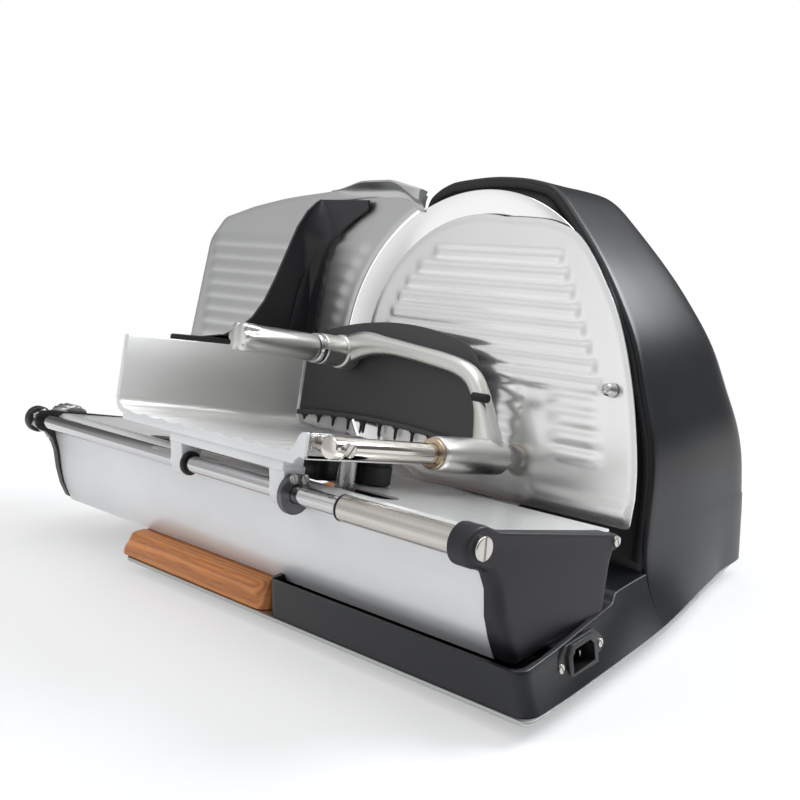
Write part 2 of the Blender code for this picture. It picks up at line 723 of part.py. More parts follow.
def make_cover(frame):
    plate = prism(cover_outline(), 'toward', -COVER_THICK, 0.0)
    grooves = []
    for index in range(7):
        up = 69.0 - RIB_PITCH * index
        left = -math.sqrt((COVER_RADIUS - 18.1) ** 2 - up ** 2)
        right = 84.0 + 6.7 * index
        grooves.append(groove_tool(left, right, up, 0.0, 0.9, 2.2))
    for index in range(4):
        up = -17.8 - RIB_PITCH * index
        grooves.append(groove_tool(77.0, 128.0 + 2.5 * index, up, 0.0, 0.9, 2.2))
    upper_place, lower_place = spacer_places()
    pin_hole = rod('toward', upper_place, 3.4, -5.0, 3.0, 0.0, 20)
    place('blade_cover', cut(plate, grooves + [pin_hole]), frame, aluminium)
    upper = (turned([(3.4, -COVER_THICK - GAP), (6.0, -COVER_THICK - GAP), (6.0, DOME_RECESS + GAP),
                       (3.4, DOME_RECESS + GAP)], 'toward', upper_place, 24))
    lower = (turned([(0, -COVER_THICK - GAP), (6.0, -COVER_THICK - GAP), (6.0, DOME_RECESS + GAP),
                       (2.1, DOME_RECESS + GAP), (2.1, DOME_RECESS - 3.4), (0, DOME_RECESS - 3.4)],
                      'toward', lower_place, 24))
    place('cover_spacer_upper', upper, frame, steel)
    place('cover_spacer_lower', lower, frame, steel)
    pin = turned([(0, DOME_RECESS - 3.4), (3.0, DOME_RECESS - 3.4), (3.0, GAP), (5.0, GAP), (4.2, 6.6),
                  (2.6, 7.7), (0, 7.7)], 'toward', upper_place, 28)
    place('cover_pin', pin, frame, steel)


def apron_outer():
    edge = ROD_TOWARD - 9.4
    return [(edge, -111.4), (edge - 0.8, -117.0), (edge - 6.6, -131.0), (edge - 11.3, -147.0),
            (edge - 16.6, -160.0), (edge - 22.6, -169.2)]


def make_guide(frame):
    left = GUIDE_LEFT + GAP
    right = GUIDE_RIGHT - GAP
    t = SHEET
    edge = ROD_TOWARD - 9.5
    top = [(GUIDE_BACK, GUIDE_TOP), (edge - 10.2, GUIDE_TOP), (edge - 6.0, -100.6), (edge - 2.5, -103.6),
           (edge - 0.6, -107.2), (edge, -111.0), (edge - t, -111.0), (edge - 2.5, -107.8), (edge - 4.3, -104.7),
           (edge - 6.9, -102.4), (edge - 10.5, GUIDE_TOP - t), (GUIDE_BACK, GUIDE_TOP - t)]
    plate = prism(top, 'x', left, right)
    slot = arc(SLOT_RIGHT - SLOT_HALF, SLOT_TOWARD, SLOT_HALF, -90.0, 90.0, 10)
    slot += arc(SLOT_LEFT + SLOT_HALF, SLOT_TOWARD, SLOT_HALF, 90.0, 270.0, 10)
    hole = prism(slot, 'up', GUIDE_TOP - 12.0, GUIDE_TOP + 12.0)
    place('guide_top_plate', cut(plate, [hole]), frame, brushed)
    outer = apron_outer()
    inner = [(p[0] - 2.5, p[1] + 0.6) for p in reversed(outer)]
    inner[-1] = (edge - 2.4, -111.4)
    place('guide_apron', prism(outer + inner, 'x', left, right), frame, white_silver)
    make_caps(frame)
    front = ROD_TOWARD - 52.0
    support = [(55.0, -101.9), (front, -101.9), (front, -166.0), (55.0, -152.2)]
    place('guide_support', prism(support, 'x', 20.0, GUIDE_RIGHT - 18.0, 1.0), frame, black_paint)


def cap_outline():
    points = [(36.5, -147.4, 4.0), (36.5, -137.0, 0.0), (34.0, -100.0, 7.0), (ROD_TOWARD - 22.0, -98.4, 6.0)]
    outline = fillet(points, 0.0, 4)
    outline += arc(ROD_TOWARD, ROD_UP, 14.5, 132.0, -98.0, 15)
    edge = ROD_TOWARD - 9.5
    low = [(edge, -124.0, 0.0), (edge - 4.9, -132.0, 6.0), (edge - 9.5, -147.0, 0.0), (edge - 15.2, -160.0, 0.0),
           (edge - 21.5, -168.6, 4.0)]
    chain = fillet([outline[-1]] + low + [outline[0]], 0.0, 4)
    return outline + chain[1:-1]


def drawn_in(outline, share):
    # An outline drawn in toward the middle of the cap
    middle = (ROD_TOWARD - 65.0, -128.0)
    return [(middle[0] + (p[0] - middle[0]) * share, middle[1] + (p[1] - middle[1]) * share) for p in outline]


def make_caps(frame):
    outline = cap_outline()
    left = loft([[spot('x', p, GUIDE_LEFT) for p in outline],
                 [spot('x', p, GUIDE_LEFT - 5.5) for p in outline],
                 [spot('x', p, GUIDE_LEFT - 8.0) for p in drawn_in(outline, 0.975)]])
    tools = [rod('x', (ROD_TOWARD, ROD_UP), ROD_RADIUS + GAP, GUIDE_LEFT - 15.0, GUIDE_LEFT + 5.0),
             rod('x', (KNOB_TOWARD, KNOB_UP), 4.3, GUIDE_LEFT - 15.0, GUIDE_LEFT + 5.0, 0.0, 24),
             ]
    place('guide_left_cap', cut(left, tools), frame, black_plastic)
    right = loft([[spot('x', p, GUIDE_RIGHT) for p in outline],
                  [spot('x', p, GUIDE_RIGHT + 8.0) for p in outline],
                  [spot('x', p, GUIDE_RIGHT + 13.5) for p in drawn_in(outline, 0.98)],
                  [spot('x', p, GUIDE_RIGHT + 16.8) for p in drawn_in(outline, 0.945)],
                  [spot('x', p, GUIDE_RIGHT + 18.0) for p in drawn_in(outline, 0.90)]])
    tools = [rod('x', (ROD_TOWARD, ROD_UP), ROD_RADIUS + GAP, GUIDE_RIGHT - 5.0, GUIDE_RIGHT + 8.5),
             rod('x', (ROD_TOWARD, ROD_UP), 3.4, GUIDE_RIGHT - 5.0, GUIDE_RIGHT + 25.0, 0.0, 20),
             rod('x', (52.0, -112.0), 2.5, GUIDE_RIGHT - 5.0, GUIDE_RIGHT + 25.0, 0.0, 16)]
    place('guide_right_cap', cut(right, tools), frame, black_paint)
    face = GUIDE_RIGHT + 18.0 + GAP
    small = slotted_screw('x', (52.0, -112.0), 4.6, 2.1, face, face + 2.0, GUIDE_RIGHT - 14.0, 20.0)
    place('cap_screw', small, frame, steel)
    large = slotted_screw('x', (ROD_TOWARD, ROD_UP), 7.5, 3.0, face, face + 2.4, GUIDE_RIGHT + 8.4, 40.0)
    place('rod_end_screw', large, frame, steel)
    guide_rod = rod('x', (ROD_TOWARD, ROD_UP), ROD_RADIUS, GUIDE_LEFT - 16.0, GUIDE_RIGHT + 8.1, 0.8, 32)
    place('guide_rod', guide_rod, frame, steel)
    nut = hexagon('x', (ROD_TOWARD, ROD_UP), 17.0, GUIDE_LEFT - 14.0, GUIDE_LEFT - 8.3, ROD_RADIUS + GAP)
    place('rod_nut', nut, frame, steel)
    sleeve = ring('x', (ROD_TOWARD, ROD_UP), ROD_RADIUS + GAP, 8.0, GUIDE_RIGHT - 102.0, GUIDE_RIGHT - 17.0, 32)
    place('rod_sleeve', sleeve, frame, brushed)


def gauge_outline():
    r = BLADE_RADIUS
    points = [(-347.0, GAUGE_BOTTOM, 6.0), (-344.5, -18.0, 0.0), (-334.4, 0.605 * r, 22.0), (-316.0, 0.776 * r, 16.0),
              (-274.0, 0.864 * r, 0.0), (-228.0, 0.928 * r, 0.0), (-174.0, 0.976 * r, 0.0)]
    points += around_blade([(-1.008, 1.024, 0.0), (-0.724, 1.03, 0.0), (-0.492, 0.976, 5.0), (-0.492, 0.904, 0.0)])
    outline = fillet(points, 0.0)
    outline += arc(0.0, 0.0, BLADE_RADIUS + 3.6, 119.5, 229.2, 30)
    return [(p[0], max(p[1], GAUGE_BOTTOM)) for p in outline]


def make_gauge(frame):
    back = GAUGE_FACE - GAUGE_THICK
    plate = prism(gauge_outline(), 'toward', back, GAUGE_FACE)
    r = BLADE_RADIUS
    lip = prism(fillet([(-1.056 * r, GAUGE_FACE - 1.0), (-0.496 * r, GAUGE_FACE - 1.0), (-0.496 * r, 19.0, 2.0),
                        (-0.544 * r, 20.5, 2.0)], 0.0), 'up', 0.944 * r, 1.01 * r, 0.6)
    plate = join(plate, [lip])
    grooves = []
    for index in range(7):
        up = 69.0 - RIB_PITCH * index
        right = -math.sqrt((BLADE_RADIUS + 9.0) ** 2 - up ** 2) - 3.0
        grooves.append(groove_tool(-331.0, right, up, GAUGE_FACE, 0.9, 2.2))
    place('gauge_plate', cut(plate, grooves), frame, aluminium, (CARRIER_X, 0.0, -116.0))
    high = back - GAP
    low = high - 6.0
    bracket = box((CARRIER_X - 25.0, CARRIER_X + 25.0), (low, high), (-128.0, -78.0), 0.6)
    bore = rod('toward', (CARRIER_X, -116.0), 6.3, low - 2.0, high + 2.0, 0.0, 28)
    place('gauge_bracket', cut(bracket, [bore]), frame, aluminium, (CARRIER_X, 0.0, -116.0))
    end = KNOB_TOWARD - 17.0
    slide = rod('toward', (CARRIER_X, -116.0), 6.0, low, end + 0.5, 0.8, 28)
    block = box((CARRIER_X - 7.5, CARRIER_X + 7.5), (end - 9.0, end), (-124.0, -105.0))
    bar = box((CARRIER_X - 7.5, CARRIER_X + 7.5), (end - 21.0, KNOB_TOWARD + 14.5), (-108.6, -104.6))
    place('gauge_slide_rod', join(slide, [block, bar]), frame, steel, (CARRIER_X, 0.0, -116.0))
    bush = box((CARRIER_X - 23.0, CARRIER_X + 23.0), (36.0, end - 22.0 - GAUGE_TRAVEL), (-132.0, GUIDE_TOP - SHEET - GAP), 0.8)
    bush = cut(bush, [rod('toward', (CARRIER_X, -116.0), 6.3, 30.0, end, 0.0, 28)])
    place('gauge_bush_block', bush, frame, aluminium)


def fluted(axis, centre, radius, depth, count, low, high, chamfer, steps_each=3):
    outline = []
    total = count * steps_each
    for step in range(total):
        angle = 2.0 * math.pi * step / total
        wave = 0.5 - 0.5 * math.cos(angle * count)
        r = radius - depth * wave ** 2
        outline.append((centre[0] + r * math.cos(angle), centre[1] + r * math.sin(angle)))
    return prism(outline, axis, low, high, chamfer)


def make_thickness_knob(frame):
    centre = (KNOB_TOWARD, KNOB_UP)
    high = GUIDE_LEFT - 8.0 - GAP
    knob = fluted('x', centre, KNOB_RADIUS, 1.2, 20, high - 18.5, high, 1.0)
    spindle = rod('x', centre, 4.0, high - 11.5, CARRIER_X - 7.8, 0.4, 24)
    pinion = fluted('x', centre, 3.1, 0.7, 10, CARRIER_X - 9.0, CARRIER_X + 11.0, 0.0, 2)
    place('thickness_knob', join(knob, [spindle, pinion]), frame, brushed, (0.0, KNOB_TOWARD, KNOB_UP))


def floor_points():
    # The table's floor from left to right, with its round grooves
    points = []
    half = GROOVE_PITCH * 0.42
    for index in range(GROOVE_COUNT):
        middle = GROOVE_FIRST + GROOVE_PITCH * index
        for step in range(5):
            t = -1.0 + 0.5 * step
            points.append((middle + half * t, TABLE_TOP - GROOVE_DEPTH * (1.0 - t * t)))
    return points


def table_section(toward, wall_top):
    low = TABLE_TOP - TABLE_SHEET - 0.6
    fold = 10.0
    outer = [(TABLE_LEFT, wall_top)]
    outer += [(TABLE_LEFT + 12.4 + 12.4 * math.cos(math.radians(a)), low + 12.4 + 12.4 * math.sin(math.radians(a)))
              for a in (180, 200, 220, 240, 255, 270)]
    outer += [(TABLE_RIGHT, low), (TABLE_RIGHT, TABLE_TOP)]
    inner = list(reversed(floor_points()))
    left = TABLE_LEFT + TABLE_SHEET
    inner += [(left + fold + fold * math.cos(math.radians(a)), TABLE_TOP + fold + fold * math.sin(math.radians(a)))
              for a in (270, 250, 230, 210, 195, 180)]
    inner += [(left, wall_top)]
    return [(p[0], toward, p[1]) for p in outer + inner]


def make_table(frame):
    table = loft([table_section(TABLE_BACK, WALL_TOP_BACK), table_section(TABLE_FRONT, WALL_TOP_FRONT)])
    low = TABLE_TOP - TABLE_SHEET - 0.6
    tab = box((TABLE_RIGHT - TABLE_SHEET, TABLE_RIGHT), (ROD_TOWARD - 12.0, TABLE_FRONT), (low + 0.4, -65.5), 0.4)
    hole = rod('x', (ROD_TOWARD, PUSHER_UP), 2.3, TABLE_RIGHT - 6.0, TABLE_RIGHT + 4.0, 0.0, 16)
    place('carriage_table', cut(join(table, [tab]), [hole]), frame, brushed, (0.0, ROD_TOWARD, ROD_UP))
    # The strip's right end rises in a curve in front of the tab that holds the pusher's rod
    right = TABLE_RIGHT
    hook = [(right - 18.0, TABLE_TOP - 0.6), (right - 13.0, TABLE_TOP + 1.5), (right - 9.5, TABLE_TOP + 6.0),
            (right - 7.0, TABLE_TOP + 11.0), (right - 4.0, TABLE_TOP + 13.4), (right, TABLE_TOP + 14.0),
            (right, TABLE_TOP - 1.5), (right - 7.0, TABLE_TOP - 2.5)]
    top = [(-163.0, TABLE_TOP + 0.6)] + [(p[0], p[1] + 0.4) for p in floor_points()] + hook
    strip = [(28.0, -86.5), (-163.0, -86.5)] + top
    place('table_front_strip', prism(strip, 'toward', TABLE_FRONT + GAP, TABLE_FRONT + GAP + 2.2, 0.3), frame,
          white_silver, (0.0, ROD_TOWARD, ROD_UP))
    make_arm(frame, low)


def make_arm(frame, floor_low):
    pivot = (0.0, ROD_TOWARD, ROD_UP)
    high = floor_low - GAP
    back = ROD_TOWARD - 8.7
    front = TABLE_FRONT + 1.0
    bar = box((-103.5, 24.0), (back + 1.7, TABLE_FRONT - 0.1), (-96.0, high), 1.0)
    tools = []
    cuts = []
    for side, x_low, x_high in (('left', -103.5, -85.0), ('right', 7.5, 24.0)):
        outline = fillet([(back, -92.0, 1.0), (front, -92.0, 2.0), (front, -113.0, 4.0),
                          (front - 4.0, -117.5, 4.0), (back + 2.7, -117.5, 4.0), (back, -114.0, 2.0)], 0.0)
        tools.append(prism(outline, 'x', x_low, x_high, 0.6))
        cuts.append(rod('x', (ROD_TOWARD, ROD_UP), 7.75, x_low - 3.0, x_high + 3.0, 0.0, 32))
        bush = ring('x', (ROD_TOWARD, ROD_UP), ROD_RADIUS + GAP, 7.4, x_low - 0.9, x_high + 0.2, 32)
        place('guide_bush_' + side, bush, frame, black_plastic, pivot)
    ring_low = 24.0 + GAP
    place('carriage_arm', cut(join(bar, tools), cuts), frame, white_silver, pivot)
    clamp = ring('x', (ROD_TOWARD, ROD_UP), ROD_RADIUS + 0.45, 13.3, ring_low, ring_low + 5.0, 40)
    clamp = cut(clamp, [box((ring_low - 3.0, ring_low + 8.0), (back - 21.3, back + 0.3), (-130.0, -80.0))])
    place('clamp_ring', clamp, frame, steel, pivot)
    block = box((-8.0, 17.0), (SLOT_TOWARD - 14.0, SLOT_TOWARD + 12.0), (-97.0, high), 1.2)
    place('carriage_block', block, frame, black_plastic, pivot)
    post = rod('up', (31.0, SLOT_TOWARD), 6.5, -113.0, high, 0.8, 28)
    place('carriage_post', post, frame, steel, pivot)
    buffer = rod('up', (20.0, SLOT_TOWARD - 34.0), 14.5, -92.5, high, 1.2, 32)
    place('carriage_buffer', buffer, frame, rubber, pivot)


def make_guard(frame):
    pivot = (0.0, ROD_TOWARD, ROD_UP)
    x_high = TABLE_LEFT - GAP
    x_low = x_high - 2.4
    fin_points = [(141.0, -19.0, 3.0), (87.0, -15.0, 10.0), (65.0, 1.0, 10.0), (49.0, 20.0, 10.0), (39.0, 56.0, 10.0),
                  (28.5, 88.0, 10.0), (12.0, 112.5, 4.0), (4.7, 114.0, 0.0), (4.7, -55.0, 3.0), (128.0, -52.0, 6.0),
                  (141.0, -30.0, 6.0)]
    fin = prism(fillet(fin_points, 0.0), 'x', x_low, x_high, 0.4)
    sheet = [(x_low, -17.0, 0.0), (-163.0, -17.0, 2.0), (-163.0, 60.0, 20.0), (-150.0, 86.0, 20.0),
             (-121.0, 106.0, 3.0), (-120.0, 114.0, 3.0), (x_low, 114.0, 0.0)]
    flange = prism(fillet(sheet, 0.0), 'toward', 4.7, 7.1, 0.4)
    guard = join(fin, [flange])
    place('hand_guard', guard, frame, black_plastic, pivot)


def make_pusher_rod(frame):
    pivot = (0.0, ROD_TOWARD, ROD_UP)
    centre = (PUSHER_X, PUSHER_UP)
    r = PUSHER_ROD_RADIUS
    end = ROD_TOWARD + 10.5
    shaft = turned([(0, 8.3), (r, 8.3), (r, end - 4.9), (9.5, end - 4.9), (9.5, end - 1.0), (8.5, end), (0, end)],
                   'toward', centre, 32)
    shaft = cut(shaft, [rod('x', (ROD_TOWARD, PUSHER_UP), 2.3, PUSHER_X - 14.0, PUSHER_X + 14.0, 0.0, 16)])
    place('pusher_rod', shaft, frame, steel, pivot)
    spacer = ring('x', (ROD_TOWARD, PUSHER_UP), 2.3, 5.0, TABLE_RIGHT + GAP, PUSHER_X - r - 0.1, 24)
    screw = slotted_screw('x', (ROD_TOWARD, PUSHER_UP), 4.4, 2.0, PUSHER_X + r + GAP, PUSHER_X + r + 2.8,
                          TABLE_RIGHT - 1.8, 0.0)
    place('rod_spacer', spacer, frame, steel, pivot)
    place('rod_side_screw', screw, frame, steel, pivot)
    far = slotted_screw('toward', centre, 9.0, 2.0, 5.2, 7.9, 8.05)
    place('rod_far_screw', far, frame, steel, pivot)
    axis = (PUSHER_X, 0.0, PUSHER_UP)
    bush = turned([(7.3, 10.0), (10.8, 10.0), (10.8, 11.4), (8.7, 11.4), (8.7, 82.6), (10.8, 82.6), (10.8, 85.0),
                   (7.3, 85.0)], 'toward', centre, 36)
    place('pusher_bush', bush, frame, brushed, axis)


def make_pusher_arm(frame):
    axis = (PUSHER_X, 0.0, PUSHER_UP)
    centre = (PUSHER_X, PUSHER_UP)
    hub = ring('toward', centre, 9.0, 11.6, 11.8, 82.2, 40)
    outer = [(64.5, -66.0, 0.0), (59.5, -55.0, 0.0), (50.2, -38.0, 10.0), (42.0, -22.0, 12.0), (33.0, -10.0, 14.0),
             (20.0, -5.5, 20.0), (-20.0, -0.5, 0.0), (-70.0, 4.5, 0.0), (-106.0, 6.0, 8.0), (-112.0, 2.0, 5.0)]
    lower = [(-112.0, -18.0, 5.0), (-106.0, -22.0, 5.0), (-60.0, -14.0, 20.0), (-10.0, -15.0, 20.0),
             (16.0, -20.0, 12.0), (27.0, -30.0, 12.0), (34.0, -46.0, 12.0), (38.0, -62.0, 8.0), (44.0, -72.0, 0.0)]
    outline = fillet([(64.5, -72.0, 0.0)] + outer + lower, 0.0)
    bar = prism(outline, 'toward', 15.0, 28.0, 1.6)
    eye = rod('toward', (HANDLE_X, HANDLE_UP), 13.8, 14.8, 29.5, 1.0, 36)
    whole = join(hub, [bar, eye])
    tools = [rod('toward', centre, 9.0, 5.0, 90.0, 0.0, 40),
             rod('toward', (HANDLE_X, HANDLE_UP), 9.3, 5.0, 40.0, 0.0, 36)]
    place('pusher_arm', cut(whole, tools), frame, aluminium, axis)
    peg = rod('x', (28.0 + GAP + 3.2, -31.0), 3.2, 40.0, 54.0, 0.6, 20)
    place('arm_bumper', peg, frame, rubber, axis)
    handle_axis = (HANDLE_X, HANDLE_UP)
    stud = rod('toward', handle_axis, 9.0, 12.6, 50.0, 0.5, 36)
    place('handle_stud', stud, frame, black_plastic, axis)
    collar = turned([(0, 50.3), (11.6, 50.3), (12.2, 51.0), (12.2, 56.0), (11.4, 57.0), (0, 57.0)],
                    'toward', handle_axis, 36)
    place('handle_collar', collar, frame, steel, axis)
    make_handle(frame, axis)


def make_handle(frame, axis):
    centre = (HANDLE_X, HANDLE_UP)
    sections = []
    steps = 30
    for along, radius, depth in ((57.3, 9.2, 0.0), (58.2, 10.4, 0.0), (66.0, 10.7, 0.0), (96.0, 10.6, 0.0),
                                 (101.0, 10.2, 0.6), (106.0, 11.2, 1.8), (126.0, 11.6, 2.2), (131.0, 11.0, 2.0),
                                 (133.0, 9.0, 1.4)):
        section = []
        for step in range(steps):
            angle = 2.0 * math.pi * step / steps
            r = radius - depth * (0.5 - 0.5 * math.cos(6.0 * angle)) ** 2
            section.append((centre[0] + r * math.cos(angle), along, centre[1] + r * math.sin(angle)))
        sections.append(section)
    place('pusher_handle', loft(sections), frame, aluminium, axis)


def plate_bottom(x):
    # Height of the pusher plate's lower edge, arched over the table
    middle = -66.0
    half = 96.0
    return -58.0 - 8.0 * ((x - middle) / half) ** 2


def make_pusher_plate(frame):
    axis = (PUSHER_X, 0.0, PUSHER_UP)
    top = [(-161.0, -8.0, 8.0), (-150.0, 2.0, 8.0), (-96.0, 13.0, 0.0), (-68.0, 15.6, 0.0), (-40.0, 15.2, 0.0),
           (0.0, 9.6, 0.0), (18.0, 4.0, 10.0), (29.0, -10.0, 10.0)]
    upper = fillet(top, 0.0, 4)
    lower = []
    flange = []
    count = 16
    for step in range(count + 1):
        x = 31.0 - 193.0 * step / count
        lower.append((x, plate_bottom(x)))
    plate = prism(upper + lower, 'toward', 8.4, 11.6, 0.5)
    for x, up in lower:
        flange.append((x, up + 3.0))
    shelf = prism(lower + list(reversed(flange)), 'toward', 9.0, 14.6, 0.4)
    teeth = []
    for index in range(TEETH_COUNT):
        x = -154.0 + 178.0 * index / (TEETH_COUNT - 1)
        root = plate_bottom(x) + 1.5
        teeth.append(turned([(0, root), (2.7, root), (0.5, -75.8), (0, -76.2)], 'up', (x, 11.4), 12))
    place('pusher_plate', join(plate, [shelf] + teeth), frame, black_plastic, axis)


def centre_on_floor(root):
    # Moves the whole machine so that the middle of its footprint is the origin
    bpy.context.view_layer.update()
    low = Vector((1e9, 1e9, 1e9))
    high = Vector((-1e9, -1e9, -1e9))
    for thing in bpy.data.objects:
        if thing.type != 'MESH':
            continue
        for vertex in thing.data.vertices:
            point = thing.matrix_world @ vertex.co
            for index in range(3):
                low[index] = min(low[index], point[index])
                high[index] = max(high[index], point[index])
    root.location.x -= (low.x + high.x) / 2.0
    root.location.y -= (low.y + high.y) / 2.0
    root.location.z -= low.z


def main():
    clear_scene()
    root = empty('slicer_root')
    machine = empty('machine_frame', root)
    machine.rotation_euler = (math.radians(-LEAN_DEG), 0.0, 0.0)
    blade_frame = empty('blade_frame', machine)
    blade_frame.location = (0.0, BLADE_SET_BACK * MM, 0.0)
    blade_frame.rotation_euler = (0.0, 0.0, math.radians(BLADE_TOE_DEG))
    inlet_frame = empty('inlet_frame', root)
    matrix = inlet_matrix()
    inlet_frame.location = matrix.to_translation() * MM
    inlet_frame.rotation_euler = matrix.to_euler()
    make_base_plate(root)
    make_feet(root)
    make_board(root)
    make_housing(root)
    make_inlet(inlet_frame)
    make_switch(root)
    make_blade(blade_frame)
    make_bearings(blade_frame)
    make_motor(blade_frame)
    make_cover(machine)
    make_guide(machine)
    make_gauge(machine)
    make_thickness_knob(machine)
    make_table(machine)
    make_guard(machine)
    make_pusher_rod(machine)
    make_pusher_arm(machine)
    make_pusher_plate(machine)
    centre_on_floor(root)


main()
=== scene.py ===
import json
import math

import bmesh
import bpy
import numpy as np
from mathutils import Matrix, Vector
from mathutils.geometry import delaunay_2d_cdt

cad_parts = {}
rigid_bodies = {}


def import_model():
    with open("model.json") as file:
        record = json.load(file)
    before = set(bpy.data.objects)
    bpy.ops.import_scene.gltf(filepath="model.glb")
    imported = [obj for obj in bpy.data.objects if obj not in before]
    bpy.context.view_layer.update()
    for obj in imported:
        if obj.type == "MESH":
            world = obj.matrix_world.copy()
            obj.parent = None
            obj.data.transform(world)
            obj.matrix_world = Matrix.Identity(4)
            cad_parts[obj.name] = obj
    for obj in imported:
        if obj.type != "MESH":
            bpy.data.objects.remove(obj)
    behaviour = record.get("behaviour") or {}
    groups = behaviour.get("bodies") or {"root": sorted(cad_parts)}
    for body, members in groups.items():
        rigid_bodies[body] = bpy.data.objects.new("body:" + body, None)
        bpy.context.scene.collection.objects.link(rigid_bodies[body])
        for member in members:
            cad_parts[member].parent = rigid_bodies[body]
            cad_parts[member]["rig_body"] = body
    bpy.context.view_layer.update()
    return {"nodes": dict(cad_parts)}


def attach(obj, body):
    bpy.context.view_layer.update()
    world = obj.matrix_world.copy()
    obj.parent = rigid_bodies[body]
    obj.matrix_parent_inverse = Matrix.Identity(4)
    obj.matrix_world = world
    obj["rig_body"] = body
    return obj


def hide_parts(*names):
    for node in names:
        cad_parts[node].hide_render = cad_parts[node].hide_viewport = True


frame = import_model()

MM = 0.001
GAP = 0.3

# Place of the blade cover's centre in the row frame, and the machine's lean
CENTRE = Vector((70.671, 26.068, 173.0))
LEAN = math.radians(12.5)
LEAN_SLOPE = math.tan(LEAN)
BLADE_SET_BACK = 2.2
BLADE_TOE = math.radians(2.0)

# Base, board and housing
BLADE_RADIUS = 125.0
PLATE_TOP = -160.0
PLATE_THICK = 5.0
PLATE_LEFT = -187.0
PLATE_FRONT = 187.0
PLATE_BACK = -145.0
FOOT_HEIGHT = 8.0
FOOT_RADIUS = 13.0
BASE_LEFT = -17.0
BASE_RIGHT = BLADE_RADIUS + 67.4
BASE_TOP_BACK = -130.0
BASE_TOP_FRONT = -134.3
BASE_CORNER = 11.0
POCKET_FLOOR = -147.0
BOARD_THICK = 20.7
BOARD_LEFT = -191.0
BOARD_RIGHT = -18.0
BOARD_BACK = -60.0
BOARD_SLANT = 13.0
BOARD_STEP_FRONT = 174.0
BOARD_STEP_TOP = -140.7
WALL = 4.0
DOME_MIDDLE = 45.0
DOME_RECESS = 20.0
DOME_BACK = 145.0
DOME_FRONT = 15.0 / math.cos(LEAN)
RIM_FOOT = -124.0
FLARE_TOP = -112.0
FLARE_POWER = 1.9
FLARE_FADE = (-133.0, -108.0)
SWITCH_X = (76.0, 114.0)
SWITCH_UP = (-114.0, -96.0)

# Blade cover and gauge plate
COVER_RADIUS = BLADE_RADIUS - 18.9
COVER_THICK = 1.8
COVER_PIN = (1.064 * BLADE_RADIUS, -0.096 * BLADE_RADIUS)
RIB_COUNT = 8
RIB_FIRST = 75.2
RIB_PITCH = 12.4
GAUGE_FACE = 2.2
GAUGE_THICK = 2.5
GAUGE_BOTTOM = -97.5

# Guide, its rod and the thickness knob
GUIDE_LEFT = -295.0
GUIDE_RIGHT = BLADE_RADIUS + 43.0
GUIDE_TOP = -99.5
GUIDE_BACK = 33.5
SHEET = 2.0
ROD_TOWARD = 170.0
ROD_UP = -107.0
ROD_PLACE = (ROD_TOWARD, ROD_UP)
ROD_RADIUS = 6.0
GUIDE_EDGE = ROD_TOWARD - 9.5
SLOT_TOWARD = ROD_TOWARD - 32.0
SLOT_HALF = 12.0
SLOT_LEFT = -180.0
SLOT_RIGHT = 76.0
KNOB_PLACE = (ROD_TOWARD - 32.0, -112.0)
KNOB_RADIUS = 19.0

# Carriage and pusher
TABLE_LEFT = -176.0
TABLE_RIGHT = 38.0
TABLE_TOP = -79.5
TABLE_SHEET = 2.4
TABLE_LOW = TABLE_TOP - TABLE_SHEET - 0.6
ARM_RIGHT = 17.5
TABLE_BACK = 4.0
TABLE_FRONT = ROD_TOWARD + 11.0
WALL_TOP_FRONT = -24.5
WALL_TOP_BACK = -18.5
GROOVE_COUNT = 8
GROOVE_PITCH = 21.5
GROOVE_FIRST = -146.0
GROOVE_DEPTH = 1.6
GUARD_THICK = 2.4
GUARD_BACK = 4.7
PUSHER_X = 55.0
PUSHER_UP = -72.0
PUSHER_PLACE = (PUSHER_X, PUSHER_UP)
PUSHER_ROD_RADIUS = 7.0
HANDLE_PLACE = (-107.0, -13.5)
TEETH_COUNT = 10

# Heights of the points along the housing's flared right side
SKIRT_UPS = (-108.0, -115.0, -121.0, -127.0, -133.0, -139.0, -145.0, -150.0, -153.0, -155.5, -157.5, -158.8,
             -159.7)

ROOT = Matrix.Translation(CENTRE)
TILT = Matrix.Rotation(-LEAN, 4, "X")
TOE = Matrix.Translation((0.0, BLADE_SET_BACK, 0.0)) @ Matrix.Rotation(BLADE_TOE, 4, "Z")
MACHINE = ROOT @ TILT
BLADE = MACHINE @ TOE
INLET_LOCAL = (Matrix.Translation((BASE_RIGHT - 1.1, -121.5, -145.4))
               @ Matrix.Rotation(math.radians(5.2), 4, "Z")
               @ Matrix.Rotation(math.radians(-7.0), 4, "Y"))
INLET = ROOT @ INLET_LOCAL


# Outlines

def fillet(points, radius, steps=8):
    # Rounds the corners of an outline. A point may carry its own radius as a third value.
    result = []
    for index, here in enumerate(points):
        corner = Vector(here[:2])
        size = here[2] if len(here) > 2 else radius
        inward = Vector(points[index - 1][:2]) - corner
        outward = Vector(points[(index + 1) % len(points)][:2]) - corner
        angle = inward.angle(outward)
        if size <= 0.0 or angle > math.radians(176.0):
            result.append((corner.x, corner.y))
            continue
        reach = min(size / math.tan(angle / 2.0), 0.48 * min(inward.length, outward.length))
        start = corner + inward.normalized() * reach
        end = corner + outward.normalized() * reach
        for step in range(steps + 1):
            t = step / steps
            point = start * (1 - t) ** 2 + corner * (2 * t * (1 - t)) + end * t ** 2
            result.append((point.x, point.y))
    return result


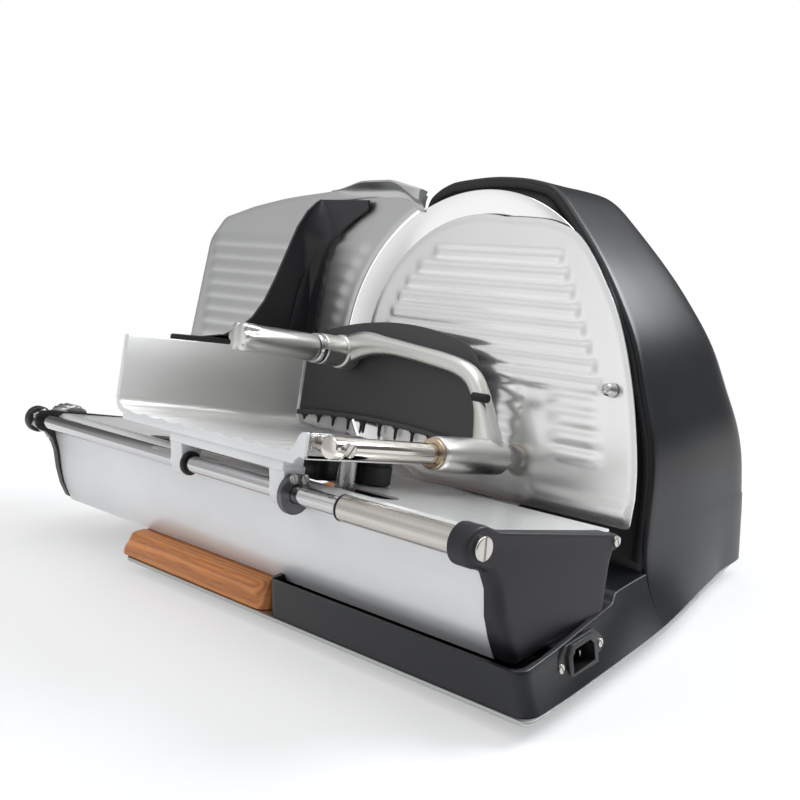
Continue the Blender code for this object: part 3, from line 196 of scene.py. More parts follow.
def inset(outline, distance):
    # Moves every edge of an outline inward by the same distance
    area = sum(a[0] * b[1] - b[0] * a[1] for a, b in zip(outline[-1:] + outline[:-1], outline))
    sign = 1.0 if area > 0 else -1.0
    result = []
    for index in range(len(outline)):
        here = Vector(outline[index])
        first = (here - Vector(outline[index - 1])).normalized()
        second = (Vector(outline[(index + 1) % len(outline)]) - here).normalized()
        normal = Vector((-first.y, first.x)) * sign
        middle = normal + Vector((-second.y, second.x)) * sign
        if middle.length < 0.2:
            middle = normal
        middle = middle.normalized()
        moved = here + middle * (distance / max(0.5, middle.dot(normal)))
        result.append((moved.x, moved.y))
    return result


def arc(centre_a, centre_b, radius, start_deg, end_deg, steps, other_radius=None):
    # Points on a circle, or on an ellipse that has another radius along its second direction
    points = []
    second = radius if other_radius is None else other_radius
    for step in range(steps + 1):
        angle = math.radians(start_deg + (end_deg - start_deg) * step / steps)
        points.append((centre_a + radius * math.cos(angle), centre_b + second * math.sin(angle)))
    return points


def curve_through(points, steps=6):
    # A smooth open curve through the points
    result = []
    last = len(points) - 1
    for index in range(last):
        a, b, c, d = [Vector(points[min(max(index + k, 0), last)]) for k in (-1, 0, 1, 2)]
        for step in range(steps):
            t = step / steps
            value = 0.5 * ((2 * b) + (c - a) * t + (2 * a - 5 * b + 4 * c - d) * t ** 2
                           + (3 * b - a - 3 * c + d) * t ** 3)
            result.append(tuple(value))
    result.append(tuple(points[-1]))
    return result


def around_blade(points):
    # Points that are written as shares of the blade's radius
    return [(p[0] * BLADE_RADIUS, p[1] * BLADE_RADIUS) + tuple(p[2:]) for p in points]


def evenly(outline, spacing):
    # An outline with points no further apart than the spacing
    result = []
    for index in range(len(outline)):
        a = Vector(outline[index])
        b = Vector(outline[(index + 1) % len(outline)])
        parts = max(1, math.ceil((b - a).length / spacing))
        for part in range(parts):
            point = a.lerp(b, part / parts)
            result.append((point.x, point.y))
    return result


def edge_distance(points, outline):
    # Distance of each point from the outline's line, with a minus sign outside it
    p = np.array(points, float)
    a = np.array(outline, float)
    best = np.full(len(p), 1e9)
    inside = np.zeros(len(p), bool)
    for start, end in zip(a, np.roll(a, -1, axis=0)):
        d = end - start
        t = np.clip(((p - start) @ d) / max(float(d @ d), 1e-12), 0.0, 1.0)
        near = start + t[:, None] * d
        best = np.minimum(best, np.hypot(*(p - near).T))
        crosses = (start[1] > p[:, 1]) != (end[1] > p[:, 1])
        with np.errstate(divide="ignore", invalid="ignore"):
            at = (end[0] - start[0]) * (p[:, 1] - start[1]) / (end[1] - start[1]) + start[0]
        inside ^= crosses & (p[:, 0] < at)
    return np.where(inside, best, -best)


def smooth_step(value, low, high):
    t = np.clip((value - low) / (high - low), 0.0, 1.0)
    return t * t * (3.0 - 2.0 * t)


def between(value, pairs):
    # Reads a value off the line through the pairs
    return float(np.interp(value, [p[0] for p in pairs], [p[1] for p in pairs]))


# Meshes

def spot(axis, pair, along):
    # Puts an outline point and a place along the axis together as x, toward, up
    if axis == "x":
        return (along, pair[0], pair[1])
    if axis == "toward":
        return (pair[0], along, pair[1])
    return (pair[0], pair[1], along)


def to_local(point):
    return Vector((point[0], -point[1], point[2]))


def tidy(mesh):
    bmesh.ops.remove_doubles(mesh, verts=mesh.verts, dist=0.0005)
    bmesh.ops.recalc_face_normals(mesh, faces=mesh.faces)
    return mesh


def loft(sections):
    # Joins closed sections that have the same number of points and closes both ends
    mesh = bmesh.new()
    rows = [[mesh.verts.new(to_local(point)) for point in section] for section in sections]
    count = len(rows[0])
    for here, there in zip(rows, rows[1:]):
        for index in range(count):
            following = (index + 1) % count
            mesh.faces.new((here[index], here[following], there[following], there[index]))
    mesh.faces.new(rows[0])
    mesh.faces.new(list(reversed(rows[-1])))
    return tidy(mesh)


def stacked(outline, axis, levels):
    # One outline at several places along an axis, drawn in by a depth of its own at each place
    return loft([[spot(axis, p, along) for p in inset(outline, depth)] for along, depth in levels])


def prism(outline, axis, low, high, rounding=0.0, steps=3):
    # An outline pushed along an axis. Both rims are rounded off.
    if rounding <= 0.0:
        return loft([[spot(axis, p, along) for p in outline] for along in (low, high)])
    quarter = arc(rounding, rounding, rounding, 180.0, 270.0, steps)
    levels = [(low + rise, depth) for rise, depth in quarter]
    levels += [(high - rise, depth) for rise, depth in reversed(quarter)]
    return stacked(outline, axis, levels)


def box(x_range, toward_range, up_range, rounding=0.0):
    outline = [(x_range[0], toward_range[0]), (x_range[1], toward_range[0]),
               (x_range[1], toward_range[1]), (x_range[0], toward_range[1])]
    return prism(fillet(outline, rounding, 3), "up", up_range[0], up_range[1], rounding)


def turned(profile, axis, centre, steps=72):
    # Turns a closed profile of radius and place along the axis. A radius of zero closes the middle.
    mesh = bmesh.new()
    rings = []
    for radius, along in profile:
        made = []
        for step in range(steps if radius > 0.0 else 1):
            angle = 2.0 * math.pi * step / steps
            pair = (centre[0] + radius * math.cos(angle), centre[1] + radius * math.sin(angle))
            made.append(mesh.verts.new(to_local(spot(axis, pair, along))))
        rings.append(made)
    for index, first in enumerate(rings):
        second = rings[(index + 1) % len(rings)]
        if len(first) == 1 and len(second) == 1:
            continue
        for step in range(steps):
            following = (step + 1) % steps
            if len(first) == 1:
                mesh.faces.new((first[0], second[following], second[step]))
            elif len(second) == 1:
                mesh.faces.new((first[step], first[following], second[0]))
            else:
                mesh.faces.new((first[step], first[following], second[following], second[step]))
    return tidy(mesh)


def rod(axis, centre, radius, low, high, chamfer=0.0, steps=72):
    profile = [(radius, low), (radius, high)]
    if chamfer > 0.0:
        profile = arc(radius - chamfer, low + chamfer, chamfer, -90.0, 0.0, 3)
        profile += arc(radius - chamfer, high - chamfer, chamfer, 0.0, 90.0, 3)
    return turned([(0, low)] + profile + [(0, high)], axis, centre, steps)


def ring(axis, centre, inner, outer, low, high, chamfer=0.3, steps=72):
    profile = [(inner, low), (outer - chamfer, low), (outer, low + chamfer), (outer, high - chamfer),
               (outer - chamfer, high), (inner, high)]
    return turned(profile, axis, centre, steps)


def fluted(axis, centre, flutes, steps, levels):
    # A turned shape with flutes. A level holds its place, its radius and the depth of its flutes.
    sections = []
    for along, radius, depth in levels:
        section = []
        for step in range(steps):
            angle = 2.0 * math.pi * step / steps
            reach = radius - depth * (0.5 - 0.5 * math.cos(flutes * angle)) ** 2
            pair = (centre[0] + reach * math.cos(angle), centre[1] + reach * math.sin(angle))
            section.append(spot(axis, pair, along))
        sections.append(section)
    return loft(sections)


def temporary(mesh):
    holder = bpy.data.meshes.new("temporary")
    mesh.to_mesh(holder)
    mesh.free()
    thing = bpy.data.objects.new("temporary", holder)
    bpy.context.scene.collection.objects.link(thing)
    return thing


def combine(base, tools, operation):
    target = temporary(base)
    for tool in tools:
        cutter = temporary(tool)
        modifier = target.modifiers.new("combine", "BOOLEAN")
        modifier.operation = operation
        modifier.solver = "EXACT"
        modifier.object = cutter
        bpy.context.view_layer.update()
        graph = bpy.context.evaluated_depsgraph_get()
        made = bpy.data.meshes.new_from_object(target.evaluated_get(graph))
        target.modifiers.remove(modifier)
        target.data = made
        bpy.data.objects.remove(cutter, do_unlink=True)
    result = bmesh.new()
    result.from_mesh(target.data)
    bpy.data.objects.remove(target, do_unlink=True)
    bmesh.ops.remove_doubles(result, verts=result.verts, dist=0.002)
    bmesh.ops.dissolve_degenerate(result, edges=result.edges, dist=0.002)
    return result


def cut(base, tools):
    return combine(base, tools, "DIFFERENCE")


def join(base, tools):
    return combine(base, tools, "UNION")


def add_to(base, extra):
    # Puts a second closed mesh into the first without joining their surfaces
    holder = bpy.data.meshes.new("temporary")
    extra.to_mesh(holder)
    extra.free()
    base.from_mesh(holder)
    bpy.data.meshes.remove(holder)


def relief(outline, axis, step_a, step_b, back, height, holes=(), rings=()):
    # A sheet whose front follows a height map. Its back is flat and its rim is closed.
    # Rings are distances from the edge that get rows of points of their own.
    border = evenly(outline, max(step_a, step_b))
    low = np.array(border).min(axis=0)
    high = np.array(border).max(axis=0)
    grid = []
    row = 0
    b = low[1]
    while b < high[1]:
        a = low[0] + (0.5 * step_a if row % 2 else 0.0)
        while a < high[0]:
            grid.append((a, b))
            a += step_a
        b += step_b
        row += 1
    clear = max([0.45 * min(step_a, step_b)] + [r * 1.15 for r in rings])
    keep = edge_distance(grid, border) > clear
    for hole in holes:
        keep &= edge_distance(grid, hole) < -0.3 * min(step_a, step_b)
    points = []
    edges = []
    for loop in [border] + [list(hole) for hole in holes]:
        first = len(points)
        points += loop
        edges += [(first + i, first + (i + 1) % len(loop)) for i in range(len(loop))]
    points += [grid[i] for i in np.nonzero(keep)[0]]
    for distance in rings:
        drawn = inset(border, distance)
        good = edge_distance(drawn, border) > 0.93 * distance
        points += [drawn[i] for i in np.nonzero(good)[0]]
    made = delaunay_2d_cdt([Vector(p) for p in points], edges, [], 1, 1e-5)
    flat = [(v.x, v.y) for v in made[0]]
    faces = made[2]
    for hole in holes:
        middles = [(sum(flat[i][0] for i in f) / 3.0, sum(flat[i][1] for i in f) / 3.0) for f in faces]
        faces = [f for f, inside in zip(faces, edge_distance(middles, hole)) if inside < 0]
    mesh = bmesh.new()
    rise = height(np.array(flat))
    front = [mesh.verts.new(to_local(spot(axis, p, float(h)))) for p, h in zip(flat, rise)]
    rear = [mesh.verts.new(to_local(spot(axis, p, back))) for p in flat]
    used = set()
    for face in faces:
        mesh.faces.new([front[i] for i in face])
        mesh.faces.new([rear[i] for i in reversed(face)])
        used.update((face[k], face[(k + 1) % 3]) for k in range(3))
    for a, b in sorted(used):
        if (b, a) not in used:
            mesh.faces.new((front[a], rear[a], rear[b], front[b]))
    loose = [v for v in mesh.verts if not v.link_faces]
    bmesh.ops.delete(mesh, geom=loose, context="VERTS")
    bmesh.ops.recalc_face_normals(mesh, faces=mesh.faces)
    return mesh


# Materials

def math_node(tree, operation, first, second):
    made = tree.nodes.new("ShaderNodeMath")
    made.operation = operation
    for index, value in enumerate((first, second)):
        if isinstance(value, float):
            made.inputs[index].default_value = value
        else:
            tree.links.new(value, made.inputs[index])
    return made.outputs[0]


def range_node(tree, value, low, high, out_low, out_high, kind="LINEAR"):
    made = tree.nodes.new("ShaderNodeMapRange")
    made.interpolation_type = kind
    for name, number in (("From Min", low), ("From Max", high), ("To Min", out_low), ("To Max", out_high)):
        made.inputs[name].default_value = number
    tree.links.new(value, made.inputs["Value"])
    return made.outputs["Result"]


class Look:
    # A material's node tree with short calls for the nodes that the looks share
    def __init__(self, name, slot, colour, roughness, metallic=0.0):
        self.material = bpy.data.materials.new("look_" + name)
        self.material.use_nodes = True
        self.material.diffuse_color = tuple(colour) + (1.0,)
        self.tree = self.material.node_tree
        self.inputs = self.tree.nodes["Principled BSDF"].inputs
        self.inputs["Roughness"].default_value = roughness
        self.inputs["Metallic"].default_value = metallic
        self.place = self.node("ShaderNodeTexCoord").outputs["Object"]

    def node(self, kind, **values):
        made = self.tree.nodes.new(kind)
        for key, value in values.items():
            if key in made.inputs:
                made.inputs[key].default_value = value
            else:
                setattr(made, key, value)
        return made

    def link(self, source, target):
        self.tree.links.new(source, target)

    def noise(self, stretch, scale, detail=4.0, roughness=0.55, distortion=0.0):
        made = self.node("ShaderNodeTexNoise", Scale=scale, Detail=detail, Roughness=roughness,
                         Distortion=distortion)
        self.link(self.coordinates(stretch), made.inputs["Vector"])
        return made.outputs["Fac"]

    def coordinates(self, stretch):
        mapping = self.node("ShaderNodeMapping", Scale=stretch)
        self.link(self.place, mapping.inputs["Vector"])
        return mapping.outputs["Vector"]

    def ramp(self, value, low, high, out_low, out_high):
        return range_node(self.tree, value, low, high, out_low, out_high)

    def mix(self, factor, first, second):
        made = self.node("ShaderNodeMix", data_type="RGBA")
        self.link(factor, made.inputs[0])
        for socket, value in ((made.inputs[6], first), (made.inputs[7], second)):
            if isinstance(value, tuple):
                socket.default_value = value + (1.0,)
            else:
                self.link(value, socket)
        return made.outputs[2]

    def bump(self, height, strength, distance, normal=None):
        made = self.node("ShaderNodeBump", Strength=strength, Distance=distance)
        self.link(height, made.inputs["Height"])
        if normal is not None:
            self.link(normal, made.inputs["Normal"])
        return made.outputs["Normal"]

    def finished(self, tone, roughness, normal):
        for name, value in (("Base Color", tone), ("Roughness", roughness), ("Normal", normal)):
            self.link(value, self.inputs[name])
        return self.material


EVEN = (1.0, 1.0, 1.0)
ALONG_X = (0.03, 1.0, 1.0)
ALONG_TOWARD = (1.0, 0.03, 1.0)


def metal(name, slot, colour, roughness, grain, spread=0.05, metallic=1.0, streak=EVEN):
    # Metal with brushed or cast grain. The streak stretches the grain along one direction.
    look = Look(name, slot, colour, roughness, metallic)
    fine = look.noise(streak, 900.0, 3.0, 0.6)
    broad = look.noise(EVEN, 9.0, 2.0, 0.5)
    smudge = look.noise(EVEN, 30.0, 3.0, 0.6, 0.4)
    darker = tuple(c * 0.97 for c in colour)
    lighter = tuple(min(1.0, c * 1.018) for c in colour)
    tone = look.mix(look.ramp(broad, 0.35, 0.65, 0.0, 1.0), darker, lighter)
    uneven = look.ramp(fine, 0.3, 0.7, roughness - spread * 0.5, roughness + spread * 0.5)
    handled = look.ramp(smudge, 0.45, 0.75, 0.0, spread * 0.4)
    return look.finished(tone, math_node(look.tree, "ADD", uneven, handled), look.bump(fine, grain, 0.00003))


def paint(name, slot, colour, roughness, peel, metallic=0.0, coat=0.0, speck=0.0, gloss=0.5):
    # Powder coat or moulded plastic: fine orange peel, uneven gloss, a trace of dust and a painted highlight
    # that lightens the convex edges
    look = Look(name, slot, colour, roughness, metallic)
    fine = look.noise(EVEN, 1500.0, 3.0, 0.6)
    broad = look.noise(EVEN, 12.0, 3.0, 0.5)
    lighter = tuple(min(1.0, c * 1.05 + 0.001) for c in colour)
    darker = tuple(c * 0.95 for c in colour)
    tone = look.mix(look.ramp(broad, 0.3, 0.7, 0.0, 1.0), darker, lighter)
    edges = look.node("ShaderNodeNewGeometry").outputs["Pointiness"]
    # Convex edges are mixed toward a lighter tone: a painted highlight along the edges
    painted_edge_highlight = tuple(min(1.0, c * 1.3 + 0.01) for c in colour)
    tone = look.mix(look.ramp(edges, 0.52, 0.60, 0.0, 0.3), tone, painted_edge_highlight)
    normal = look.bump(fine, peel, 0.00003)
    if speck > 0.0:
        normal = look.bump(look.noise(EVEN, 700.0, 2.0, 0.5), speck, 0.0002, normal)
    look.inputs["Specular IOR Level"].default_value = gloss
    look.inputs["Coat Weight"].default_value = coat
    look.inputs["Coat Roughness"].default_value = 0.2
    return look.finished(tone, look.ramp(broad, 0.3, 0.7, roughness - 0.02, roughness + 0.03), normal)


def wood(name, slot):
    # Oiled board with its grain along x: growth rings, fibres, pores and a few dark streaks
    look = Look(name, slot, (0.42, 0.16, 0.045), 0.42)
    bend = look.noise((6.0, 6.0, 6.0), 1.5, 2.0)
    wave = look.node("ShaderNodeTexWave", wave_type="RINGS", rings_direction="X", Scale=2.2, Distortion=5.5,
                     Detail=3.0)
    wave.inputs["Detail Scale"].default_value = 1.2
    look.link(look.coordinates((3.0, 42.0, 55.0)), wave.inputs["Vector"])
    fibre = look.noise((18.0, 420.0, 420.0), 3.0, 6.0, 0.65)
    pore = look.noise((60.0, 1500.0, 1500.0), 1.2, 2.0, 0.5)
    rings = look.ramp(wave.outputs["Fac"], 0.1, 0.9, 0.0, 1.0)
    tone = look.mix(rings, (0.62, 0.225, 0.058), (0.34, 0.10, 0.022))
    tone = look.mix(look.ramp(fibre, 0.35, 0.7, 0.0, 0.55), tone, (0.74, 0.32, 0.10))
    tone = look.mix(look.ramp(pore, 0.60, 0.72, 0.0, 0.55), tone, (0.12, 0.035, 0.01))
    tone = look.mix(look.ramp(bend, 0.45, 0.75, 0.0, 0.35), tone, (0.30, 0.10, 0.03))
    normal = look.bump(pore, 0.2, 0.0002, look.bump(fibre, 0.25, 0.0002))
    return look.finished(tone, look.ramp(fibre, 0.3, 0.7, 0.36, 0.52), normal)


# Name, slot, colour, roughness and peel of each paint, and what else differs from the usual
PAINTS = (
    ("black_casting", "casting_black", (0.004, 0.0048, 0.007), 0.34, 0.05, {"coat": 0.05, "gloss": 0.45}),
    ("black_rim", "casting_black", (0.008, 0.008, 0.009), 0.55, 0.3, {"speck": 0.8}),
    ("black_cap", "casting_black", (0.013, 0.012, 0.015), 0.45, 0.1, {"gloss": 0.4}),
    ("black_plastic", "black_plastic", (0.009, 0.009, 0.010), 0.38, 0.1, {}),
    ("guard_plastic", "black_plastic", (0.019, 0.019, 0.022), 0.38, 0.08, {}),
    ("grey_plastic", "black_plastic", (0.050, 0.049, 0.052), 0.55, 0.15, {"speck": 0.06}),
    ("rubber", "foot_rubber", (0.010, 0.010, 0.011), 0.7, 0.3, {}),
    ("pale_silver", "white_paint", (0.74, 0.745, 0.75), 0.36, 0.04, {"metallic": 0.3}),
    ("white_metal", "white_paint", (0.72, 0.73, 0.735), 0.36, 0.05, {"metallic": 0.2}))

# Name, slot, colour, roughness and grain of each metal, and what else differs from the usual
METALS = (
    ("mirror_steel", "polished_steel", (0.62, 0.62, 0.63), 0.07, 0.02, {"spread": 0.02}),
    ("screw_steel", "polished_steel", (0.60, 0.58, 0.55), 0.22, 0.1, {}),
    ("blade_steel", "polished_steel", (0.93, 0.93, 0.93), 0.12, 0.03, {"spread": 0.03}),
    ("nickel", "brushed_steel", (0.74, 0.70, 0.66), 0.12, 0.04, {"spread": 0.03}),
    ("brushed_x", "brushed_steel", (0.62, 0.59, 0.55), 0.26, 0.4, {"streak": ALONG_X}),
    ("brushed_toward", "brushed_steel", (0.86, 0.855, 0.835), 0.32, 0.06,
     {"metallic": 0.45, "streak": ALONG_TOWARD}),
    ("steel", "brushed_steel", (0.50, 0.50, 0.50), 0.28, 0.1, {}),
    ("dark_steel", "brushed_steel", (0.16, 0.16, 0.165), 0.30, 0.1, {}),
    ("bright_sheet", "brushed_steel", (0.86, 0.865, 0.86), 0.20, 0.05, {"metallic": 0.45, "streak": ALONG_X}),
    ("satin_sheet", "satin_aluminium", (0.88, 0.885, 0.88), 0.24, 0.02, {"spread": 0.02, "metallic": 0.8}),
    ("gauge_sheet", "satin_aluminium", (0.62, 0.625, 0.625), 0.38, 0.1, {"spread": 0.04}),
    ("cast_bright", "satin_aluminium", (0.76, 0.755, 0.73), 0.32, 0.2, {}),
    ("plate_edge", "plate_aluminium", (0.50, 0.51, 0.51), 0.36, 0.15, {}),
    ("brass_bush", "brushed_steel", (0.62, 0.50, 0.36), 0.25, 0.1, {}))

LOOKS = {row[0]: paint(*row[:5], **row[5]) for row in PAINTS}
LOOKS.update({row[0]: metal(*row[:5], **row[5]) for row in METALS})
LOOKS["wood"] = wood("oiled_wood", "board_wood")


# Pieces

def add_piece(name, mesh, look, node=None, body="machine", where=MACHINE, sharp_deg=32.0, bevel=0.0):
    # Places a mesh of millimetres in the row frame as a piece that rides on a body
    mesh.transform(where)
    bmesh.ops.scale(mesh, verts=mesh.verts, vec=(MM, MM, MM))
    bmesh.ops.recalc_face_normals(mesh, faces=mesh.faces)
    data = bpy.data.meshes.new(name)
    mesh.to_mesh(data)
    mesh.free()
    data.shade_smooth()
    data.set_sharp_from_angle(angle=math.radians(sharp_deg))
    data.materials.append(LOOKS[look])
    thing = bpy.data.objects.new(name, data)
    bpy.context.scene.collection.objects.link(thing)
    if bevel > 0.0:
        add_bevel(thing, bevel)
    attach(thing, body)
    if node:
        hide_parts(node)


def add_bevel(thing, width):
    modifier = thing.modifiers.new("edges", "BEVEL")
    modifier.width = width * MM
    modifier.segments = 2
    modifier.limit_method = "ANGLE"
    modifier.angle_limit = math.radians(34.0)
    modifier.use_clamp_overlap = True
    modifier.harden_normals = True


def refined(node, look, bevel):
    # A node's own shape with welded, softened edges and a finished material
    source = frame["nodes"][node]
    mesh = bmesh.new()
    mesh.from_mesh(source.data)
    bmesh.ops.remove_doubles(mesh, verts=mesh.verts, dist=0.000002)
    bmesh.ops.dissolve_limit(mesh, angle_limit=math.radians(1.0), verts=mesh.verts, edges=mesh.edges)
    bmesh.ops.scale(mesh, verts=mesh.verts, vec=(1.0 / MM, 1.0 / MM, 1.0 / MM))
    add_piece(node + "_dressed", mesh, look, node, source["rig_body"], Matrix.Identity(4), 32.0, bevel)


def add_screw(name, axis, centre, head, head_low, head_high, slot_deg, domed=0.5, look="screw_steel", **rest):
    # The head of a screw with its slot. The screw's outer side is at head_high.
    sign = 1.0 if head_high > head_low else -1.0
    length = abs(head_high - head_low)
    profile = [(0, head_low), (head, head_low), (head, head_high - sign * min(domed + 0.3, length * 0.6))]
    profile += arc(head - 0.9, head_high - sign * domed, 0.9, 0.0, 90.0, 4, sign * domed)[1:]
    body = turned(profile + [(0, head_high)], axis, centre, 48)
    turn = math.radians(slot_deg)
    along = Vector((math.cos(turn), math.sin(turn)))
    side = Vector((-along.y, along.x)) * (head * 0.13)
    middle = Vector(centre)
    far = along * (head + 1.0)
    outline = [tuple(middle + far + side), tuple(middle - far + side),
               tuple(middle - far - side), tuple(middle + far - side)]
    slot_low, slot_high = sorted((head_high - sign * 0.9, head_high + sign * 1.0))
    add_piece(name, cut(body, [prism(outline, axis, slot_low, slot_high)]), look, **rest)


# Base and board

# The plate's right edge as toward and x, from the back to the front, as one smooth line
PLATE_SIDE = curve_through([(toward, BASE_RIGHT + x) for toward, x in
                            ((PLATE_BACK, -32.4), (-66.5, -17.4), (19.0, -0.8), (110.3, 8.6), (159.0, 12.2),
                             (PLATE_FRONT, 13.0))], 6)


def plate_outline():
    right = [(x, toward) for toward, x in PLATE_SIDE]
    back = fillet([right[3], right[0] + (6.0,), (PLATE_LEFT, PLATE_BACK)], 0.0, 6)[1:-1]
    front = fillet([(PLATE_LEFT, PLATE_FRONT), right[-1] + (10.0,), right[-5]], 0.0, 8)[1:-1]
    left = fillet([(0.0, PLATE_FRONT), (PLATE_LEFT, PLATE_FRONT, 6.0), (PLATE_LEFT, PLATE_BACK, 12.0),
                   (0.0, PLATE_BACK)], 0.0, 8)[1:-1]
    return back[::-1] + right[4:-5] + front[::-1] + left


def make_base_plate():
    low = PLATE_TOP - PLATE_THICK
    levels = ((low, 4.2), (low + 0.3, 3.8), (low + 1.4, 1.2), (low + 2.0, 0.3), (low + 2.5, 0.0),
              (PLATE_TOP - 0.7, 0.0), (PLATE_TOP - 0.2, 0.25), (PLATE_TOP, 0.7))
    add_piece("base_sheet", stacked(plate_outline(), "up", levels), "plate_edge", "base_plate", where=ROOT)


def make_feet():
    high = PLATE_TOP - PLATE_THICK - GAP
    low = PLATE_TOP - PLATE_THICK - FOOT_HEIGHT
    seat = low + 4.0
    left = PLATE_LEFT + 27.0
    places = {"foot_front_right": (BASE_RIGHT - 20.4, 150.0), "foot_front_left": (left, 150.0),
              "foot_back_right": (BASE_RIGHT - 50.4, -112.0), "foot_back_left": (left, -112.0)}
    profile = [(5.5, low), (FOOT_RADIUS - 1.2, low), (FOOT_RADIUS - 0.3, low + 0.4), (FOOT_RADIUS, low + 1.2),
               (FOOT_RADIUS - 0.5, high), (0, high), (0, seat), (5.5, seat)]
    for name, place in places.items():
        add_piece(name + "_pad", turned(profile, "up", place, 56), "rubber", name, where=ROOT)
        add_screw(name + "_screw", "up", place, 4.4, seat - 0.02, seat - 1.8, 35.0, look="steel", where=ROOT)


def make_board():
    # The board's left end slants inward toward the top. Its back part is lower, under the apron.
    low = PLATE_TOP + GAP
    high = low + BOARD_THICK
    front = PLATE_FRONT - 1.0
    sections = []
    for up, depth in ((low, 0.8), (low + 0.3, 0.25), (low + 0.8, 0.0), (low + 6.0, 0.0), (low + 12.0, 0.0),
                      (high - 2.9, 0.0), (high - 2.2, 0.15), (high - 1.1, 0.8), (high - 0.3, 1.9),
                      (high, 3.0)):
        slant = BOARD_SLANT * smooth_step(up, low + 1.0, high)
        outline = fillet([(BOARD_LEFT - 3.0 + slant, front, 6.0), (BOARD_RIGHT, front, 12.0),
                          (BOARD_RIGHT, BOARD_BACK, 6.0), (BOARD_LEFT + slant, BOARD_BACK, 6.0)], 0.0, 10)
        sections.append([spot("up", p, up) for p in inset(outline, depth)])
    step = box((BOARD_LEFT - 30.0, BOARD_RIGHT + 30.0), (BOARD_BACK - 30.0, BOARD_STEP_FRONT),
               (BOARD_STEP_TOP, high + 10.0))
    add_piece("board_of_wood", cut(loft(sections), [step]), "wood", "wooden_board", "board", ROOT)


# Housing

def side_x(toward, up, top_x):
    # The housing's right side flares in one curve from its upright part to the plate's edge
    foot_x = between(toward, PLATE_SIDE) - 1.2
    share = min(max((FLARE_TOP - up) / (FLARE_TOP - PLATE_TOP - GAP), 0.0), 1.0)
    return top_x + max(foot_x - top_x, 0.0) * share ** FLARE_POWER


# How far the base reaches to the right at its top, as toward and x
BASE_TOP_SIDE = ((20.0, 168.6), (45.0, 169.6), (60.0, 171.5), (75.0, 174.5), (90.0, 178.0), (120.0, 185.0),
                 (150.0, 191.0), (187.0, 197.0))


def base_slice(foot_toward, lean, top, corner, inside):
    # A slice across the front of the base, leaning back by a share of its height
    bottom = PLATE_TOP + GAP
    top_x = between(foot_toward, BASE_TOP_SIDE)
    rounding = 0.9
    right = []
    for share in (0.0, 0.05, 0.12, 0.25, 0.4, 0.55, 0.7, 0.85, 1.0):
        up = bottom + (top - rounding - bottom) * share
        right.append((side_x(foot_toward - lean * (up - bottom), up, top_x) - corner - inside, up))
    rim = arc(right[-1][0] - rounding, top - rounding, rounding, 0.0, 90.0, 5)
    right += [(x - 0.1 * step, up) for step, (x, up) in enumerate(rim)][1:]
    left_x = BASE_LEFT + corner
    left = [(left_x + 1.4, top), (left_x + 0.2, top - 1.2), (left_x, bottom)]
    return [(x, foot_toward - lean * (up - bottom), up) for x, up in right + left]


def base_body():
    # The base in front of the dome: one loft of slices from inside the dome to the front face
    front = PLATE_FRONT - 1.4 - BASE_CORNER
    sections = []
    for toward in (10.0, 18.5, 20.2, 23.0, 27.0, 32.0, 40.0, 50.0, 58.0, 61.0, 63.0, 64.5, 66.0, 68.0, 71.0,
                   80.0, 95.0, 110.0, 130.0, 150.0, 165.0, front - 0.5):
        top = BASE_TOP_BACK + (BASE_TOP_FRONT - BASE_TOP_BACK) * smooth_step(toward, 60.0, 69.0)
        lean = LEAN_SLOPE * (1.0 - smooth_step(toward, 30.0, 120.0))
        sections.append(base_slice(toward, lean, top, 0.0, 4.0 if toward < 20.0 else 0.0))
    for step in range(1, 11):
        angle = math.pi / 2.0 * step / 10
        toward = front + BASE_CORNER * math.sin(angle)
        sections.append(base_slice(toward, 0.0, BASE_TOP_FRONT, BASE_CORNER * (1.0 - math.cos(angle)), 0.0))
    return loft(sections)


def base_pocket():
    # The sunk floor under the guide, in front of and beside its support
    edge = [(-12.0, 156.0), (152.5, 156.0), (152.5, 76.0), (175.0, 76.0), (181.5, 100.0), (187.5, 130.0),
            (192.5, 160.0), (194.5, 182.6, 8.0), (-12.0, 182.6)]
    return prism(fillet(edge, 0.0, 8), "up", POCKET_FLOOR, -120.0)


def dome_edge():
    # The dome's edge from the front, from bottom left over the top, as one smooth line
    side = BLADE_RADIUS + 44.0
    points = [(-15.0, -159.7), (-15.0, -128.0), (-22.0, -100.0), (-48.0, -40.0), (-58.0, 20.0)]
    points += around_blade([(-0.528, 0.56), (-0.592, 0.80), (-0.586, 0.895), (-0.53, 0.955), (-0.44, 1.001),
                            (-0.344, 1.024), (-0.104, 1.047), (0.12, 1.042), (0.30, 1.016), (0.41, 0.975),
                            (0.54, 0.857), (0.776, 0.604), (0.952, 0.372), (1.096, 0.139), (1.208, -0.143),
                            (1.284, -0.346), (1.327, -0.55)])
    skirt = [(side - 0.4 + 0.2 * min(index, 2), up) for index, up in enumerate(SKIRT_UPS)]
    return curve_through(points + [(side - 1.0, -101.5)], 6) + skirt


DOME_EDGE = dome_edge()

# Depth behind the blade, slope, width and height of the dome's sections
DOME_KEYS = [(DOME_FRONT + 3.2, LEAN_SLOPE, 1.0, 1.0), (62.0, 0.12, 1.0, 0.985), (110.0, 0.05, 0.985, 0.965),
             (130.0, 0.0, 0.975, 0.935), (140.5, 0.0, 0.955, 0.89), (DOME_BACK, 0.0, 0.92, 0.83)]


def leaning(depth):
    # The key of a section that is parallel to the dome's leaning front
    return (depth, LEAN_SLOPE, 1.0, 1.0)


